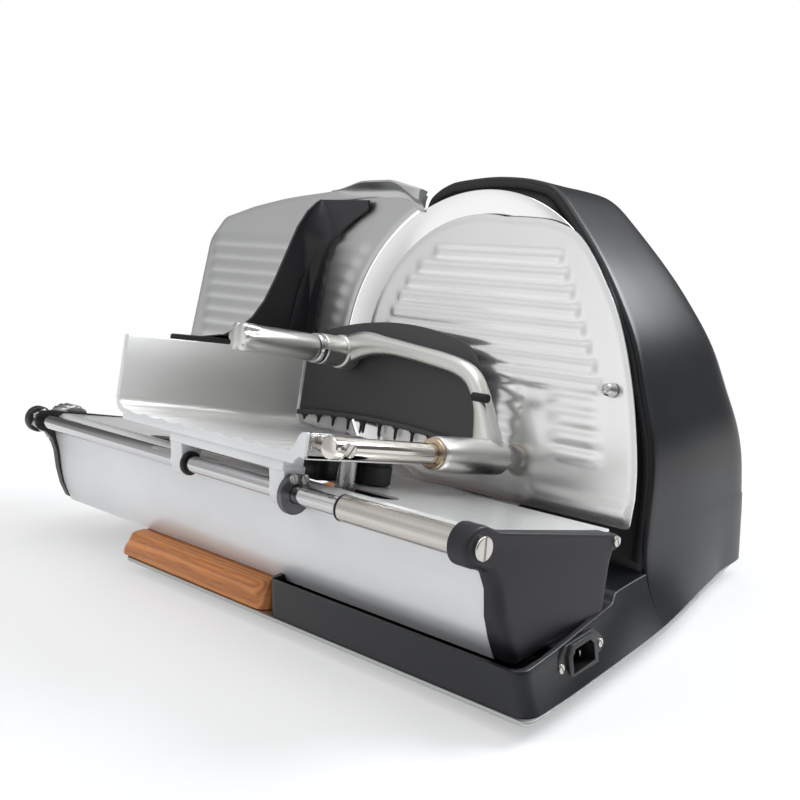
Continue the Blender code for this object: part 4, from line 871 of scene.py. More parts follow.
def dome_section(key, shrink=0.0, clip=None, flared=False):
    # A section of the dome, drawn in by shrink, cut off below clip, and flared at its right side
    depth, slope, wide, tall = key
    outline = inset(DOME_EDGE, shrink) if shrink > 0.0 else DOME_EDGE
    skirt_first = len(outline) - len(SKIRT_UPS)
    section = []
    for index, (x, up) in enumerate(outline):
        if clip is not None:
            up = max(up, clip)
        new_x = DOME_MIDDLE + (x - DOME_MIDDLE) * wide
        new_up = PLATE_TOP + (up - PLATE_TOP) * tall
        if flared and index >= skirt_first:
            plain_x, new_up = DOME_EDGE[index]
            own = DOME_MIDDLE + (plain_x - DOME_MIDDLE) * wide
            fade = min(max((new_up - FLARE_FADE[0]) / (FLARE_FADE[1] - FLARE_FADE[0]), 0.0), 1.0)
            new_x = side_x(-(depth + slope * new_up), new_up, own) - shrink * fade
        elif flared:
            new_up = max(new_up, PLATE_TOP + GAP)
        section.append((new_x, -(depth + slope * new_up), new_up))
    return section


def dome_body():
    sections = []
    for extra, shrink in ((0.0, 3.0), (0.25, 1.7), (0.9, 0.7), (1.9, 0.15)):
        sections.append(dome_section(leaning(DOME_FRONT + extra), shrink, None, True))
    sections += [dome_section(key, 0.0, None, True) for key in curve_through(DOME_KEYS, 6)]
    return loft(sections)


def dome_hollow():
    floor = -150.0
    sections = [dome_section(leaning((DOME_RECESS + WALL) / math.cos(LEAN)), WALL + 1.5, floor)]
    for key in ((62.0, 0.12, 1.0, 0.985), (110.0, 0.05, 0.985, 0.965), (128.0, 0.0, 0.975, 0.935),
                (DOME_BACK - WALL, 0.0, 0.94, 0.87)):
        sections.append(dome_section(key, WALL, floor))
    return loft(sections)


def make_housing():
    shell = join(cut(base_body(), [base_pocket()]), [dome_body()])
    recess = loft([dome_section(leaning(depth), 7.5)
                   for depth in (DOME_FRONT - 4.0, DOME_RECESS / math.cos(LEAN))])
    above_base = box((-60.0, 200.0), (-60.0, 30.0), (BASE_TOP_BACK + 0.2, 200.0))
    recess = combine(recess, [above_base], "INTERSECT")
    blade_slot = box((-40.0, 72.0), (-18.0, 8.0), (-BLADE_RADIUS - 10.0, RIM_FOOT + 11.0))
    bore = rod("toward", (0.0, 0.0), 22.6, -32.0, -12.0)
    bore.transform(TILT @ TOE)
    inlet = box((-24.0, 12.0), (-14.3, 14.3), (-8.4, 8.4))
    inlet.transform(INLET_LOCAL)
    switch_hole = box(SWITCH_X, (-160.0, -130.0), SWITCH_UP)
    shell = cut(shell, [recess, dome_hollow(), blade_slot, bore, inlet, switch_hole])
    add_piece("housing_shell", shell, "black_casting", "housing", where=ROOT, sharp_deg=34.0)


def make_rim():
    # The textured seal that lines the dome's mouth, just inside its smooth lip
    rows = []
    for behind, shrink in ((-0.1, 3.4), (-0.45, 4.0), (-0.6, 5.6), (-0.45, 7.2), (-0.1, 7.9), (2.6, 8.1),
                           (2.8, 7.4), (0.4, 7.3), (0.4, 3.4)):
        rows.append(dome_section(leaning(DOME_FRONT + behind), shrink, RIM_FOOT))
    add_piece("housing_rim_seal", loft(list(zip(*rows))), "black_rim", where=ROOT)


def socket_line(half, tall, slant, low_radius, high_radius):
    # A rectangle with its two upper corners cut off
    return fillet([(-half, -tall, low_radius), (half, -tall, low_radius), (half, tall - slant, high_radius),
                   (half - slant, tall, high_radius), (slant - half, tall, high_radius),
                   (-half, tall - slant, high_radius)], 0.0, 4)


def make_inlet():
    # A mains inlet: a flange with two ears, a raised frame, a deep pocket and three pins
    ears = fillet([(-30.5, 0.0, 6.0), (-16.5, -11.0, 2.5), (16.5, -11.0, 2.5), (30.5, 0.0, 6.0),
                   (16.5, 11.0, 2.5), (-16.5, 11.0, 2.5)], 0.0, 6)
    flange = prism(ears, "x", GAP, GAP + 2.4, 0.5)
    raised = prism(socket_line(16.8, 10.2, 5.2, 1.5, 1.0), "x", GAP + 1.0, GAP + 4.4, 0.6)
    body = box((-18.0, GAP + 0.5), (-13.8, 13.8), (-7.9, 7.9))
    pocket = prism(socket_line(12.6, 6.8, 3.6, 1.0, 0.8), "x", -14.0, GAP + 9.0)
    whole = cut(join(flange, [raised, body]), [pocket])
    add_piece("inlet_housing", whole, "black_plastic", "power_inlet", where=INLET, sharp_deg=30.0, bevel=0.15)
    for name, toward in (("inlet_screw_near", 23.6), ("inlet_screw_far", -22.6)):
        add_screw(name, "x", (toward, 0.0), 2.9, GAP + 2.2, GAP + 3.6, 60.0, where=INLET)
    for index, (toward, up) in enumerate(((-7.0, -1.8), (7.0, -1.8), (0.0, 2.2))):
        pin = box((-15.9, -1.6), (toward - 1.1, toward + 1.1), (up - 2.1, up + 2.1), 0.4)
        add_piece("inlet_pin_%d" % (index + 1), pin, "nickel", where=INLET)


def make_switch():
    refined("switch_body", "black_plastic", 0.3)
    refined("on_button", "white_metal", 0.3)
    refined("off_button", "black_plastic", 0.3)
    middle = (SWITCH_X[0] + SWITCH_X[1]) / 2.0
    up = (SWITCH_UP[0] + SWITCH_UP[1]) / 2.0
    face = -DOME_BACK - 6.4
    on_x = (SWITCH_X[0] + 3.4 + middle - 1.6) / 2.0
    off_x = (middle + 1.6 + SWITCH_X[1] - 3.4) / 2.0
    bar = box((on_x - 0.5, on_x + 0.5), (face - 0.05, face + 0.3), (up - 3.0, up + 3.0))
    add_piece("on_mark", bar, "black_plastic", body="button_on", where=ROOT)
    circle = ring("toward", (off_x, up), 2.1, 3.0, face - 0.05, face + 0.3, 0.02, 48)
    add_piece("off_mark", circle, "white_metal", body="button_off", where=ROOT)


# Blade, its cover and the gauge plate

def make_blade():
    r = BLADE_RADIUS
    profile = [(8.3, -5.5), (100.0, -5.5), (104.5, -4.9), (107.0, -4.1), (r - 0.4, -0.05), (r, -0.35),
               (r - 1.5, -1.4), (101.5, -7.3), (8.3, -7.3)]
    blade = turned(profile, "toward", (0.0, 0.0), 240)
    add_piece("blade_disc", blade, "blade_steel", "blade", "blade_drive", BLADE, 12.0)


def cover_outline():
    points = arc(0.0, 0.0, COVER_RADIUS, 80.0, 255.0, 90)
    corner, *side = around_blade([(1.29, -0.82, 4.0), (1.296, -0.653), (1.279, -0.494), (1.236, -0.287),
                                  (1.18, -0.079), (1.094, 0.155), (1.005, 0.339), (0.908, 0.486),
                                  (0.787, 0.647), (0.672, 0.755), (0.55, 0.805), (0.416, 0.83),
                                  (0.16, 0.8375)])
    rounded = fillet([points[-1], corner, side[0]], 0.0)[1:-1]
    return points + rounded + curve_through(side, 6)[:-1]


def bead(x, up, left, right, middle, half, fade=9.0):
    # A rounded rib along x: one in its middle and none at its ends
    across = np.clip(1.0 - ((up - middle) / half) ** 2, 0.0, 1.0)
    return across * smooth_step(x, left, left + fade) * (1.0 - smooth_step(x, right - fade, right))


def cover_height(points):
    # Long ribs above, shorter and lower ones below, and a flat shelf at the lower right
    x = points[:, 0]
    up = points[:, 1]
    ribs_radius = 90.0
    rib_height = 1.5
    low_height = 0.9
    edge = edge_distance(points, evenly(cover_outline(), 3.0))
    rise = np.zeros(len(points))
    half = RIB_PITCH * 0.5
    for index in range(RIB_COUNT):
        middle = RIB_FIRST - RIB_PITCH * index
        right = 80.0 + 6.9 * index if index < RIB_COUNT - 1 else 128.0
        rise += rib_height * bead(x, up, -math.sqrt(ribs_radius ** 2 - middle ** 2), right, middle, half)
    for index in range(4):
        middle = -24.0 - RIB_PITCH * index
        left = -math.sqrt(ribs_radius ** 2 - middle ** 2)
        rise += low_height * bead(x, up, 78.0 + 2.0 * index, 130.0 + 2.6 * index, middle, half * 0.9, 16.0)
        rise += low_height * bead(x, up, left, 62.0, middle, half * 0.9, 6.0)
    shelf = smooth_step(x, 70.0, 84.0) * (1.0 - smooth_step(up, -93.0, -83.0))
    rise += low_height * shelf * smooth_step(edge, 1.0, 6.0)
    fall = 0.66 * (1.0 - smooth_step(edge, 0.0, 4.5))
    return -1.0 + np.clip(rise, 0.0, rib_height) - fall


def make_cover():
    hole = arc(COVER_PIN[0], COVER_PIN[1], 3.4, 0.0, 345.0, 23)
    sheet = relief(cover_outline(), "toward", 4.0, 1.15, -COVER_THICK - 0.9, cover_height, (hole,))
    add_piece("cover_sheet", sheet, "satin_sheet", "blade_cover", sharp_deg=50.0)
    foot = -DOME_RECESS - 3.4
    pin = turned([(0, foot), (3.0, foot), (3.0, GAP), (5.0, GAP), (5.0, 1.0), (4.2, 6.4), (3.4, 7.2),
                  (2.2, 7.6), (1.2, 7.0), (0, 6.8)], "toward", COVER_PIN, 56)
    add_piece("cover_knob", pin, "mirror_steel", "cover_pin", sharp_deg=25.0)


# The highest part of the gauge plate's edge
GAUGE_TOP = [(-174.0, 0.976 * BLADE_RADIUS), (-1.008 * BLADE_RADIUS, 1.024 * BLADE_RADIUS),
             (-0.724 * BLADE_RADIUS, 1.03 * BLADE_RADIUS)]


def gauge_outline():
    r = BLADE_RADIUS
    outline = fillet([(-347.0, GAUGE_BOTTOM, 6.0), (-344.5, -18.0, 0.0), (-334.4, 0.605 * r, 22.0),
                      (-316.0, 0.776 * r, 16.0), (-274.0, 0.864 * r, 0.0), (-228.0, 0.928 * r, 0.0)], 0.0)
    outline = outline[:-1]
    outline = outline[:-1] + curve_through([outline[-1], (-228.0, 0.928 * r)] + GAUGE_TOP, 6)
    outline += fillet([outline[-1], (-0.492 * r, 0.976 * r, 5.0), (-0.492 * r, 0.904 * r, 0.0)], 0.0)[1:-1]
    outline += arc(0.0, 0.0, BLADE_RADIUS + 3.6, 119.5, 229.2, 90)
    return [(p[0], max(p[1], GAUGE_BOTTOM)) for p in outline]


def gauge_height(points):
    x = points[:, 0]
    up = points[:, 1]
    rib_height = 1.1
    edge = edge_distance(points, evenly(gauge_outline(), 3.0))
    rise = np.zeros(len(points))
    for index in range(RIB_COUNT):
        middle = RIB_FIRST - RIB_PITCH * index
        right = -math.sqrt((BLADE_RADIUS + 9.0) ** 2 - middle ** 2) - 3.0
        rise += rib_height * bead(x, up, -332.0, right, middle, RIB_PITCH * 0.5, 14.0)
    fall = 0.6 * (1.0 - smooth_step(edge, 0.0, 2.2))
    return GAUGE_FACE - 0.8 + np.clip(rise, 0.0, rib_height) - fall


def lip_section(x):
    # A cut through the gauge plate's top lip, which curls forward and widens to the right
    rise = smooth_step(x, -172.0, -112.0)
    end = smooth_step(x, -84.0, -62.0)
    reach = GAUGE_FACE + 0.3 + 13.0 * rise - 6.0 * end
    top = 0.2 + between(x, GAUGE_TOP + [(-62.0, 0.98 * BLADE_RADIUS)])
    low = top - 1.6 - 7.0 * end
    points = [(GAUGE_FACE - 2.0, top - 13.0), (GAUGE_FACE - 2.0, top)]
    for step in range(5):
        t = step / 4
        points.append((GAUGE_FACE + (reach - 0.8 - GAUGE_FACE) * t, top + 0.4 * math.sin(math.pi * t) * rise))
    points += [(reach, top - 0.7), (reach, low)]
    width = max(reach - 0.6 - GAUGE_FACE, 0.2)
    points += arc(GAUGE_FACE - 0.1 + width, low - 9.0, width, 90.0, 180.0, 8, 9.0)
    return [(x, p[0], p[1]) for p in points]


def make_gauge():
    sheet = relief(gauge_outline(), "toward", 5.0, 1.3, GAUGE_FACE - GAUGE_THICK, gauge_height)
    add_piece("gauge_sheet_plate", sheet, "gauge_sheet", "gauge_plate", "gauge", sharp_deg=50.0)
    lip = loft([lip_section(x) for x in np.linspace(-172.0, -62.0, 34)])
    add_piece("gauge_lip", lip, "gauge_sheet", body="gauge", sharp_deg=40.0)


# Guide under the carriage

def make_guide():
    left = GUIDE_LEFT + GAP
    right = GUIDE_RIGHT - GAP
    foot = -111.0
    sheets = []
    for inward, radius in ((0.0, 9.0), (SHEET, 7.0)):
        top = GUIDE_TOP - inward
        edge = GUIDE_EDGE - inward
        sheets.append([(GUIDE_BACK, top)]
                      + fillet([(GUIDE_BACK, top), (edge - 2.6, top, radius), (edge, foot)], 0.0, 10)[1:])
    plate = prism(sheets[0] + sheets[1][::-1], "x", left, right)
    slot = arc(SLOT_RIGHT - SLOT_HALF, SLOT_TOWARD, SLOT_HALF, -90.0, 90.0, 24)
    slot += arc(SLOT_LEFT + SLOT_HALF, SLOT_TOWARD, SLOT_HALF, 90.0, 270.0, 24)
    hole = prism(slot, "up", GUIDE_TOP - 12.0, GUIDE_TOP + 12.0)
    groove = prism(fillet([(-201.0, 118.0), (-189.0, 118.0), (-189.0, 119.6), (-201.0, 119.6)], 0.7), "up",
                   GUIDE_TOP - 0.5, GUIDE_TOP + 2.0)
    add_piece("guide_sheet", cut(plate, [hole, groove]), "bright_sheet", "guide_top_plate", bevel=0.25)
    edge = GUIDE_EDGE + 0.1
    outer = curve_through([(edge, -111.4), (edge - 0.8, -117.0), (edge - 6.6, -131.0), (edge - 11.3, -147.0),
                           (edge - 16.6, -160.0), (edge - 24.6, -173.0)], 6)
    inner = [(p[0] - 2.3, p[1] + 0.5) for p in reversed(outer[1:])] + [(edge - 2.4, -111.4)]
    apron = prism(outer + inner, "x", left, right, 0.4, 2)
    add_piece("guide_front", apron, "pale_silver", "guide_apron")
    refined("guide_support", "black_casting", 0.6)


def cap_outline(back, boss, front):
    # A cap's edge: back edge and top, boss around the rod, and the front's hollow curve
    return fillet(back + boss + [(GUIDE_EDGE + toward, up, size) for toward, up, size in front], 0.0, 8)


def left_cap_outline():
    back = [(36.5, -152.0, 4.0), (36.5, -137.0, 0.0), (34.0, -100.0, 7.0), (ROD_TOWARD - 8.0, -98.2, 3.0)]
    return cap_outline(back, arc(ROD_TOWARD, ROD_UP, 8.6, 75.0, -98.0, 30),
                       ((1.0, -121.0, 0.0), (-4.9, -132.0, 6.0), (-9.5, -147.0, 0.0), (-15.2, -160.0, 0.0),
                        (-23.0, -171.5, 4.0)))


def right_cap_outline():
    back = [(44.0, -155.5, 3.0), (43.5, -137.0, 0.0), (42.0, -100.0, 5.0), (ROD_TOWARD - 14.0, -98.0, 10.0)]
    return cap_outline(back, arc(ROD_TOWARD, ROD_UP, 12.4, 105.0, -92.0, 40),
                       ((2.5, -121.0, 4.0), (-4.4, -131.0, 6.0), (-8.5, -147.0, 0.0), (-15.2, -160.0, 0.0),
                        (-24.6, -173.6, 5.0)))


def right_cap_height(points):
    # The right cap's face is thin at the boss and thickens backward and downward, with a rounded edge
    edge = edge_distance(points, evenly(right_cap_outline(), 2.0))
    back = np.clip((ROD_TOWARD - points[:, 0]) / 126.0, 0.0, 1.0)
    down = np.clip((ROD_UP - points[:, 1]) / 65.0, 0.0, 1.0)
    face = 5.2 + 6.0 * back + 12.0 * down * (1.0 - back) + 1.5 * down * back
    size = 2.2 + 4.3 * np.clip((-104.0 - points[:, 1]) / 14.0, 0.0, 1.0)
    share = np.clip(1.0 - edge / size, 0.0, 1.0)
    drop = np.minimum(size, face) * (1.0 - np.sqrt(np.clip(1.0 - share * share, 0.0, 1.0)))
    return GUIDE_RIGHT + face - drop


def make_caps():
    # The left cap is drawn in toward a point in its middle, and the right one is a relief
    toward, up = (ROD_TOWARD - 65.0, -128.0)
    sections = []
    for out, share in ((0.0, 1.0), (5.5, 1.0), (6.8, 0.995), (7.7, 0.985), (8.0, 0.972)):
        sections.append([(GUIDE_LEFT - out, toward + (p[0] - toward) * share, up + (p[1] - up) * share)
                         for p in left_cap_outline()])
    add_piece("cap_left", loft(sections), "black_plastic", "guide_left_cap")
    boss = rod("x", ROD_PLACE, 10.8, GUIDE_LEFT - 15.9, GUIDE_LEFT - 7.5, 1.6, 56)
    add_piece("cap_left_boss", boss, "black_plastic")
    rings = (0.15, 0.5, 1.1, 2.0, 3.2, 4.8, 6.6)
    cap = relief(right_cap_outline(), "x", 5.0, 5.0, GUIDE_RIGHT, right_cap_height, (), rings)
    add_piece("cap_right", cap, "black_cap", "guide_right_cap", sharp_deg=50.0)
    right = GUIDE_RIGHT
    collar = turned([(6.4, right - 10.0), (11.6, right - 10.0), (12.2, right - 9.4), (12.4, right - 8.0),
                     (12.4, right + 1.0), (6.4, right + 1.0)], "x", ROD_PLACE)
    collar = cut(collar, [box((right - 20.0, right + 5.0), (120.0, ROD_TOWARD - 9.1), (-140.0, -60.0))])
    add_piece("cap_collar", collar, "black_cap")
    face = right + 11.0
    add_piece("cap_tab", rod("x", (42.5, -105.5), 5.4, face - 8.0, face - 0.6, 1.2, 48), "black_cap")
    add_screw("cap_screw_head", "x", (42.5, -104.6), 3.5, face - 1.0, face + 1.6, 60.0, node="cap_screw")
    add_screw("rod_end_screw_head", "x", ROD_PLACE, 7.2, right + 4.6, right + 7.6, 84.0, 0.9,
              node="rod_end_screw")


def make_guide_rod():
    nut_radius = 17.0 / 1.732
    bar = rod("x", ROD_PLACE, ROD_RADIUS, GUIDE_LEFT - 14.0, GUIDE_RIGHT + 4.4, 0.9)
    add_piece("guide_rod_bar", bar, "mirror_steel", "guide_rod")
    hexagon = arc(ROD_TOWARD, ROD_UP, nut_radius, 30.0, 330.0, 5)
    nut = prism(hexagon, "x", GUIDE_LEFT - 8.0, GUIDE_LEFT - 2.4, 0.7)
    add_piece("rod_nut_steel", nut, "mirror_steel", "rod_nut")
    sleeve = ring("x", ROD_PLACE, ROD_RADIUS + GAP, 8.3, GUIDE_RIGHT - 102.0, GUIDE_RIGHT - 10.2, 0.6)
    add_piece("rod_sleeve_tube", sleeve, "brushed_x", "rod_sleeve")
    seal = ring("x", ROD_PLACE, ROD_RADIUS + GAP, 8.5, GUIDE_RIGHT - 103.6, GUIDE_RIGHT - 102.0, 0.3)
    add_piece("rod_sleeve_seal", seal, "rubber")


# Carriage

def floor_points(count=14):
    # The table's floor from left to right, with its round grooves
    points = []
    for index in range(GROOVE_COUNT):
        for step in range(count + 1):
            t = -1.0 + 2.0 * step / count
            x = GROOVE_FIRST + GROOVE_PITCH * (index + 0.42 * t)
            points.append((x, TABLE_TOP - GROOVE_DEPTH * (1.0 - t * t)))
    return points


def table_section(toward, wall_top):
    outer_fold = 12.4
    fold = 10.0
    left = TABLE_LEFT + TABLE_SHEET
    points = [(TABLE_LEFT + 0.3, wall_top), (TABLE_LEFT, wall_top - 0.5)]
    points += arc(TABLE_LEFT + outer_fold, TABLE_LOW + outer_fold, outer_fold, 180.0, 270.0, 12)
    points += [(TABLE_RIGHT, TABLE_LOW), (TABLE_RIGHT, TABLE_TOP - 0.4), (TABLE_RIGHT - 0.4, TABLE_TOP)]
    points += floor_points()[::-1] + arc(left + fold, TABLE_TOP + fold, fold, 270.0, 180.0, 12)
    points += [(left, wall_top - 0.5), (left - 0.3, wall_top)]
    return [(p[0], toward, p[1]) for p in points]


def make_table():
    table = loft([table_section(TABLE_BACK, WALL_TOP_BACK), table_section(TABLE_FRONT, WALL_TOP_FRONT)])
    add_piece("table_sheet", table, "brushed_toward", "carriage_table", "carriage", sharp_deg=40.0)
    back = ROD_TOWARD - 12.0
    tab = fillet([(back, TABLE_LOW + 0.4), (TABLE_FRONT, TABLE_LOW + 0.4), (TABLE_FRONT, -65.5, 3.0),
                  (back, -65.5, 6.0)], 0.0)
    tab = prism(tab, "x", TABLE_RIGHT - TABLE_SHEET, TABLE_RIGHT, 0.4)
    add_piece("table_tab", tab, "steel", body="carriage")
    make_front_strip()
    x = TABLE_LEFT + 13.0
    up = TABLE_TOP + 9.5
    wall_top = WALL_TOP_FRONT + 0.2
    rim = [(TABLE_LEFT - 0.2, wall_top), (TABLE_LEFT - 0.2, TABLE_TOP + 9.0)]
    rim += arc(x, up, 13.2, 180.0, 270.0, 8, 12.4) + arc(x, up, 10.0, 270.0, 180.0, 8, 8.6)
    rim += [(TABLE_LEFT + 3.0, TABLE_TOP + 9.0), (TABLE_LEFT + 3.0, wall_top)]
    edge = prism(rim, "toward", TABLE_FRONT + 0.05, TABLE_FRONT + 1.7, 0.3, 2)
    add_piece("table_wall_edge", edge, "white_metal", body="carriage")


def make_front_strip():
    # The white strip along the table's front, with its grooved top and its hooked right end
    right = TABLE_RIGHT
    hook = curve_through([(right - 18.5, -0.5), (right - 14.0, 0.9), (right - 10.0, 5.5), (right - 7.4, 11.0),
                          (right - 4.4, 13.5)], 6)
    hook += [(right - 0.8, 14.0), (right, 13.2), (right, -0.9), (right - 0.8, -1.6), (right - 5.0, -2.2),
             (right - 8.0, -4.2)]
    strip = [(28.0, -86.5), (-163.0, -86.5), (-163.0, TABLE_TOP + 0.6)]
    strip += [(p[0], p[1] + 0.4) for p in floor_points(8)] + [(p[0], TABLE_TOP + p[1]) for p in hook]
    made = prism(strip, "toward", TABLE_FRONT + 0.05, TABLE_FRONT + GAP + 2.2, 0.35, 2)
    add_piece("table_front_edge", made, "white_metal", "table_front_strip", "carriage")


def make_arm():
    # The bar under the table with its two forks, its bushes and the clamp around the rod
    high = TABLE_LOW - GAP
    back = ROD_TOWARD - 8.7
    front = ROD_TOWARD + 7.4
    bar = box((-105.8, 17.3), (back + 1.7, TABLE_FRONT - 0.3), (-93.5, high), 1.0)
    add_piece("carriage_arm_bar", bar, "white_metal", "carriage_arm", "carriage", bevel=0.2)
    outline = fillet([(back, -90.0, 1.0), (TABLE_FRONT - 0.6, -90.0, 1.0), (front + 1.5, -96.0, 4.0),
                      (front, -103.0, 3.0), (front - 0.2, -109.0, 3.5), (front - 5.0, -116.0, 4.0),
                      (back + 4.7, -116.5, 4.0), (back, -112.0, 3.0)], 0.0, 6)
    for side, x_low, x_high in (("left", -106.0, -92.5), ("right", 2.5, ARM_RIGHT)):
        hole = rod("x", ROD_PLACE, 6.9, x_low - 3.0, x_high + 3.0)
        fork = cut(prism(outline, "x", x_low, x_high, 0.6), [hole])
        add_piece("carriage_fork_" + side, fork, "white_metal", body="carriage")
        bush = ring("x", ROD_PLACE, ROD_RADIUS + GAP, 8.6, x_high - 0.5, x_high + 2.6, 0.6)
        add_piece("bush_" + side, bush, "black_plastic", "guide_bush_" + side, "carriage")
    low = ARM_RIGHT + GAP
    clamp = ring("x", ROD_PLACE, ROD_RADIUS + 0.45, 13.5, low, low + 4.4, 0.5)
    clamp = cut(clamp, [box((low - 3.0, low + 8.0), (back - 21.3, ROD_TOWARD - 9.2), (-130.0, -80.0)),
                        box((low - 3.0, low + 8.0), (120.0, 200.0), (-94.6, -80.0))])
    add_piece("clamp_ring_steel", clamp, "dark_steel", "clamp_ring", "carriage", bevel=0.2)
    for index, toward in enumerate((ROD_TOWARD - 4.4, ROD_TOWARD + 4.8)):
        add_screw("clamp_screw_%d" % (index + 1), "x", (toward, ROD_UP + 9.8), 3.3, low + 4.3, low + 5.6,
                  55.0 + 20.0 * index, 0.3, body="carriage")


def make_under_table():
    high = TABLE_LOW - GAP
    block = box((-8.0, 17.0), (SLOT_TOWARD - 14.0, SLOT_TOWARD + 12.0), (-98.8, high), 1.0)
    add_piece("block_black", block, "black_plastic", "carriage_block", "carriage")
    post = turned([(0, -113.0), (5.7, -113.0), (6.5, -112.2), (6.5, high), (0, high)], "up",
                  (31.0, SLOT_TOWARD), 56)
    add_piece("post_steel", post, "steel", "carriage_post", "carriage")
    buffer = turned([(0, -98.9), (13.6, -98.9), (14.5, -98.0), (14.5, high - 3.4), (13.6, high - 2.8),
                     (13.6, high - 2.2), (14.5, high - 1.6), (14.5, high), (0, high)], "up",
                    (20.0, SLOT_TOWARD - 34.0), 56)
    add_piece("buffer_rubber", buffer, "black_plastic", "carriage_buffer", "carriage")


def guard_section(up, thick):
    # A level cut through the guard: its fin toward the person, the bend and its flange to the right
    x_low = TABLE_LEFT - GAP - GUARD_THICK
    back = GUARD_BACK
    fin = between(up, ((-19.0, 141.0), (-18.6, 112.0), (-14.5, 92.0), (-6.5, 76.0), (4.0, 64.0), (19.0, 54.0),
                       (38.0, 46.0), (60.0, 38.5), (86.0, 29.5), (101.0, 21.0), (110.5, 12.0), (114.0, 7.0)))
    right = between(up, ((-17.0, -163.0), (36.0, -163.0), (58.0, -162.4), (74.0, -158.0), (86.0, -150.0),
                         (97.0, -136.0), (105.5, -121.5), (108.0, -119.5), (114.0, -120.5)))
    size = min(5.0 + 22.0 * smooth_step(up, 15.0, 95.0), 0.9 * (fin - back), 0.9 * (right - x_low))
    small = max(size - thick, 0.6)
    points = [(x_low, fin)] + arc(x_low + size, back + size, size, 180.0, 270.0, 12)
    points += [(right, back), (right, back + thick)]
    points += arc(x_low + thick + small, back + thick + small, small, 270.0, 180.0, 12)
    return [(p[0], p[1], up) for p in points + [(x_low + thick, fin)]]


def make_guard():
    x_high = TABLE_LEFT - GAP
    x_low = x_high - GUARD_THICK
    top = 114.0
    ups = (-17.0, -14.5, -10.0, -6.5, -1.0, 4.0, 11.0, 19.0, 28.0, 38.0, 49.0, 60.0, 68.0, 74.0, 80.0, 86.0,
           92.0, 97.0, 101.0, 105.5, 108.0, 110.5, 112.5, 113.6)
    sheet = loft([guard_section(up, GUARD_THICK) for up in ups] + [guard_section(top, GUARD_THICK / 2.0)])
    add_piece("guard_sheet", sheet, "guard_plastic", "hand_guard", "carriage", sharp_deg=40.0, bevel=0.5)
    foot = fillet([(GUARD_BACK, -16.0), (GUARD_BACK, -55.0), (128.0, -52.0, 6.0), (141.0, -42.0, 8.0),
                   (141.0, -19.0, 2.0), (112.0, -17.6, 6.0), (94.0, -14.0, 4.0)], 0.0, 6)
    add_piece("guard_foot", prism(foot, "x", x_low + 0.05, x_high, 0.6), "guard_plastic", body="carriage")
    rib = fillet([(8.0, -16.0), (26.0, -16.0, 2.0), (21.0, 30.0, 8.0), (9.0, 74.0, 4.0), (7.5, 74.0)], 0.0)
    add_piece("guard_rib", prism(rib, "x", x_high - 0.1, x_high + 2.2, 0.6), "guard_plastic", body="carriage")
    for index, toward in enumerate((30.0, 108.0)):
        add_screw("guard_screw_%d" % (index + 1), "x", (toward, -38.0), 3.4, x_low + 0.1, x_low - 1.2, 25.0,
                  body="carriage")


# Pusher

def make_pusher_rod():
    r = PUSHER_ROD_RADIUS
    end = ROD_TOWARD + 10.5
    shaft = turned([(0, 8.3), (r - 0.5, 8.3), (r, 8.8), (r, end - 9.2), (r - 0.9, end - 8.8),
                    (r - 0.9, end - 7.9), (r + 0.2, end - 7.5), (r + 0.2, end - 0.9), (r - 0.5, end - 0.2),
                    (r - 1.4, end), (0, end)], "toward", PUSHER_PLACE, 80)
    add_piece("pusher_rod_bar", shaft, "nickel", "pusher_rod", "carriage")
    side = (ROD_TOWARD, PUSHER_UP)
    spacer = ring("x", side, 2.3, 5.0, TABLE_RIGHT + GAP - 0.3, PUSHER_X - r + 0.4, 0.3, 48)
    add_piece("rod_spacer_ring", spacer, "nickel", "rod_spacer", "carriage")
    add_screw("rod_screw_head", "x", side, 4.6, PUSHER_X + r - 0.3, PUSHER_X + r + 2.8, 125.0,
              node="rod_side_screw", body="carriage")
    add_screw("rod_far_screw_head", "toward", PUSHER_PLACE, 9.0, 8.2, 5.2, 30.0, node="rod_far_screw",
              body="carriage")
    bush = turned([(7.3, 10.0), (10.5, 10.0), (10.8, 10.3), (10.8, 11.4), (8.7, 11.4), (8.7, 82.6),
                   (10.8, 82.6), (10.8, 84.6), (10.4, 85.0), (7.3, 85.0)], "toward", PUSHER_PLACE)
    add_piece("bush_tube", bush, "brass_bush", "pusher_bush", "bush")


def arm_bar(low, high):
    # The oval bar of the arm, lofted between its upper and its lower edge from the hub to the handle
    upper = [(66.3, -70.0), (63.2, -60.0), (58.0, -50.0), (51.5, -38.5), (44.0, -25.5), (35.0, -14.0),
             (22.0, -6.6), (0.0, -2.4), (-30.0, 0.6), (-60.0, 3.4), (-85.0, 5.2), (-107.0, 0.3)]
    lower = [(45.0, -74.0), (39.8, -62.0), (38.4, -50.0), (36.0, -38.0), (31.0, -28.5), (24.0, -21.8),
             (13.0, -17.6), (-4.0, -15.0), (-32.0, -12.0), (-60.0, -11.0), (-85.0, -15.5), (-107.0, -27.3)]
    steps = 24
    oval = []
    for step in range(steps):
        angle = 2.0 * math.pi * step / steps
        oval.append([math.copysign(abs(v) ** 0.75, v) for v in (math.cos(angle), math.sin(angle))])
    sections = []
    for a, b in zip(curve_through(upper, 6), curve_through(lower, 6)):
        middle = (Vector(a) + Vector(b)) / 2.0
        half = (Vector(a) - Vector(b)) / 2.0
        points = [middle + half * across for across, depth in oval]
        sections.append([(point.x, (low + high) / 2.0 + (high - low) / 2.0 * depth, point.y)
                         for point, (across, depth) in zip(points, oval)])
    return loft(sections)


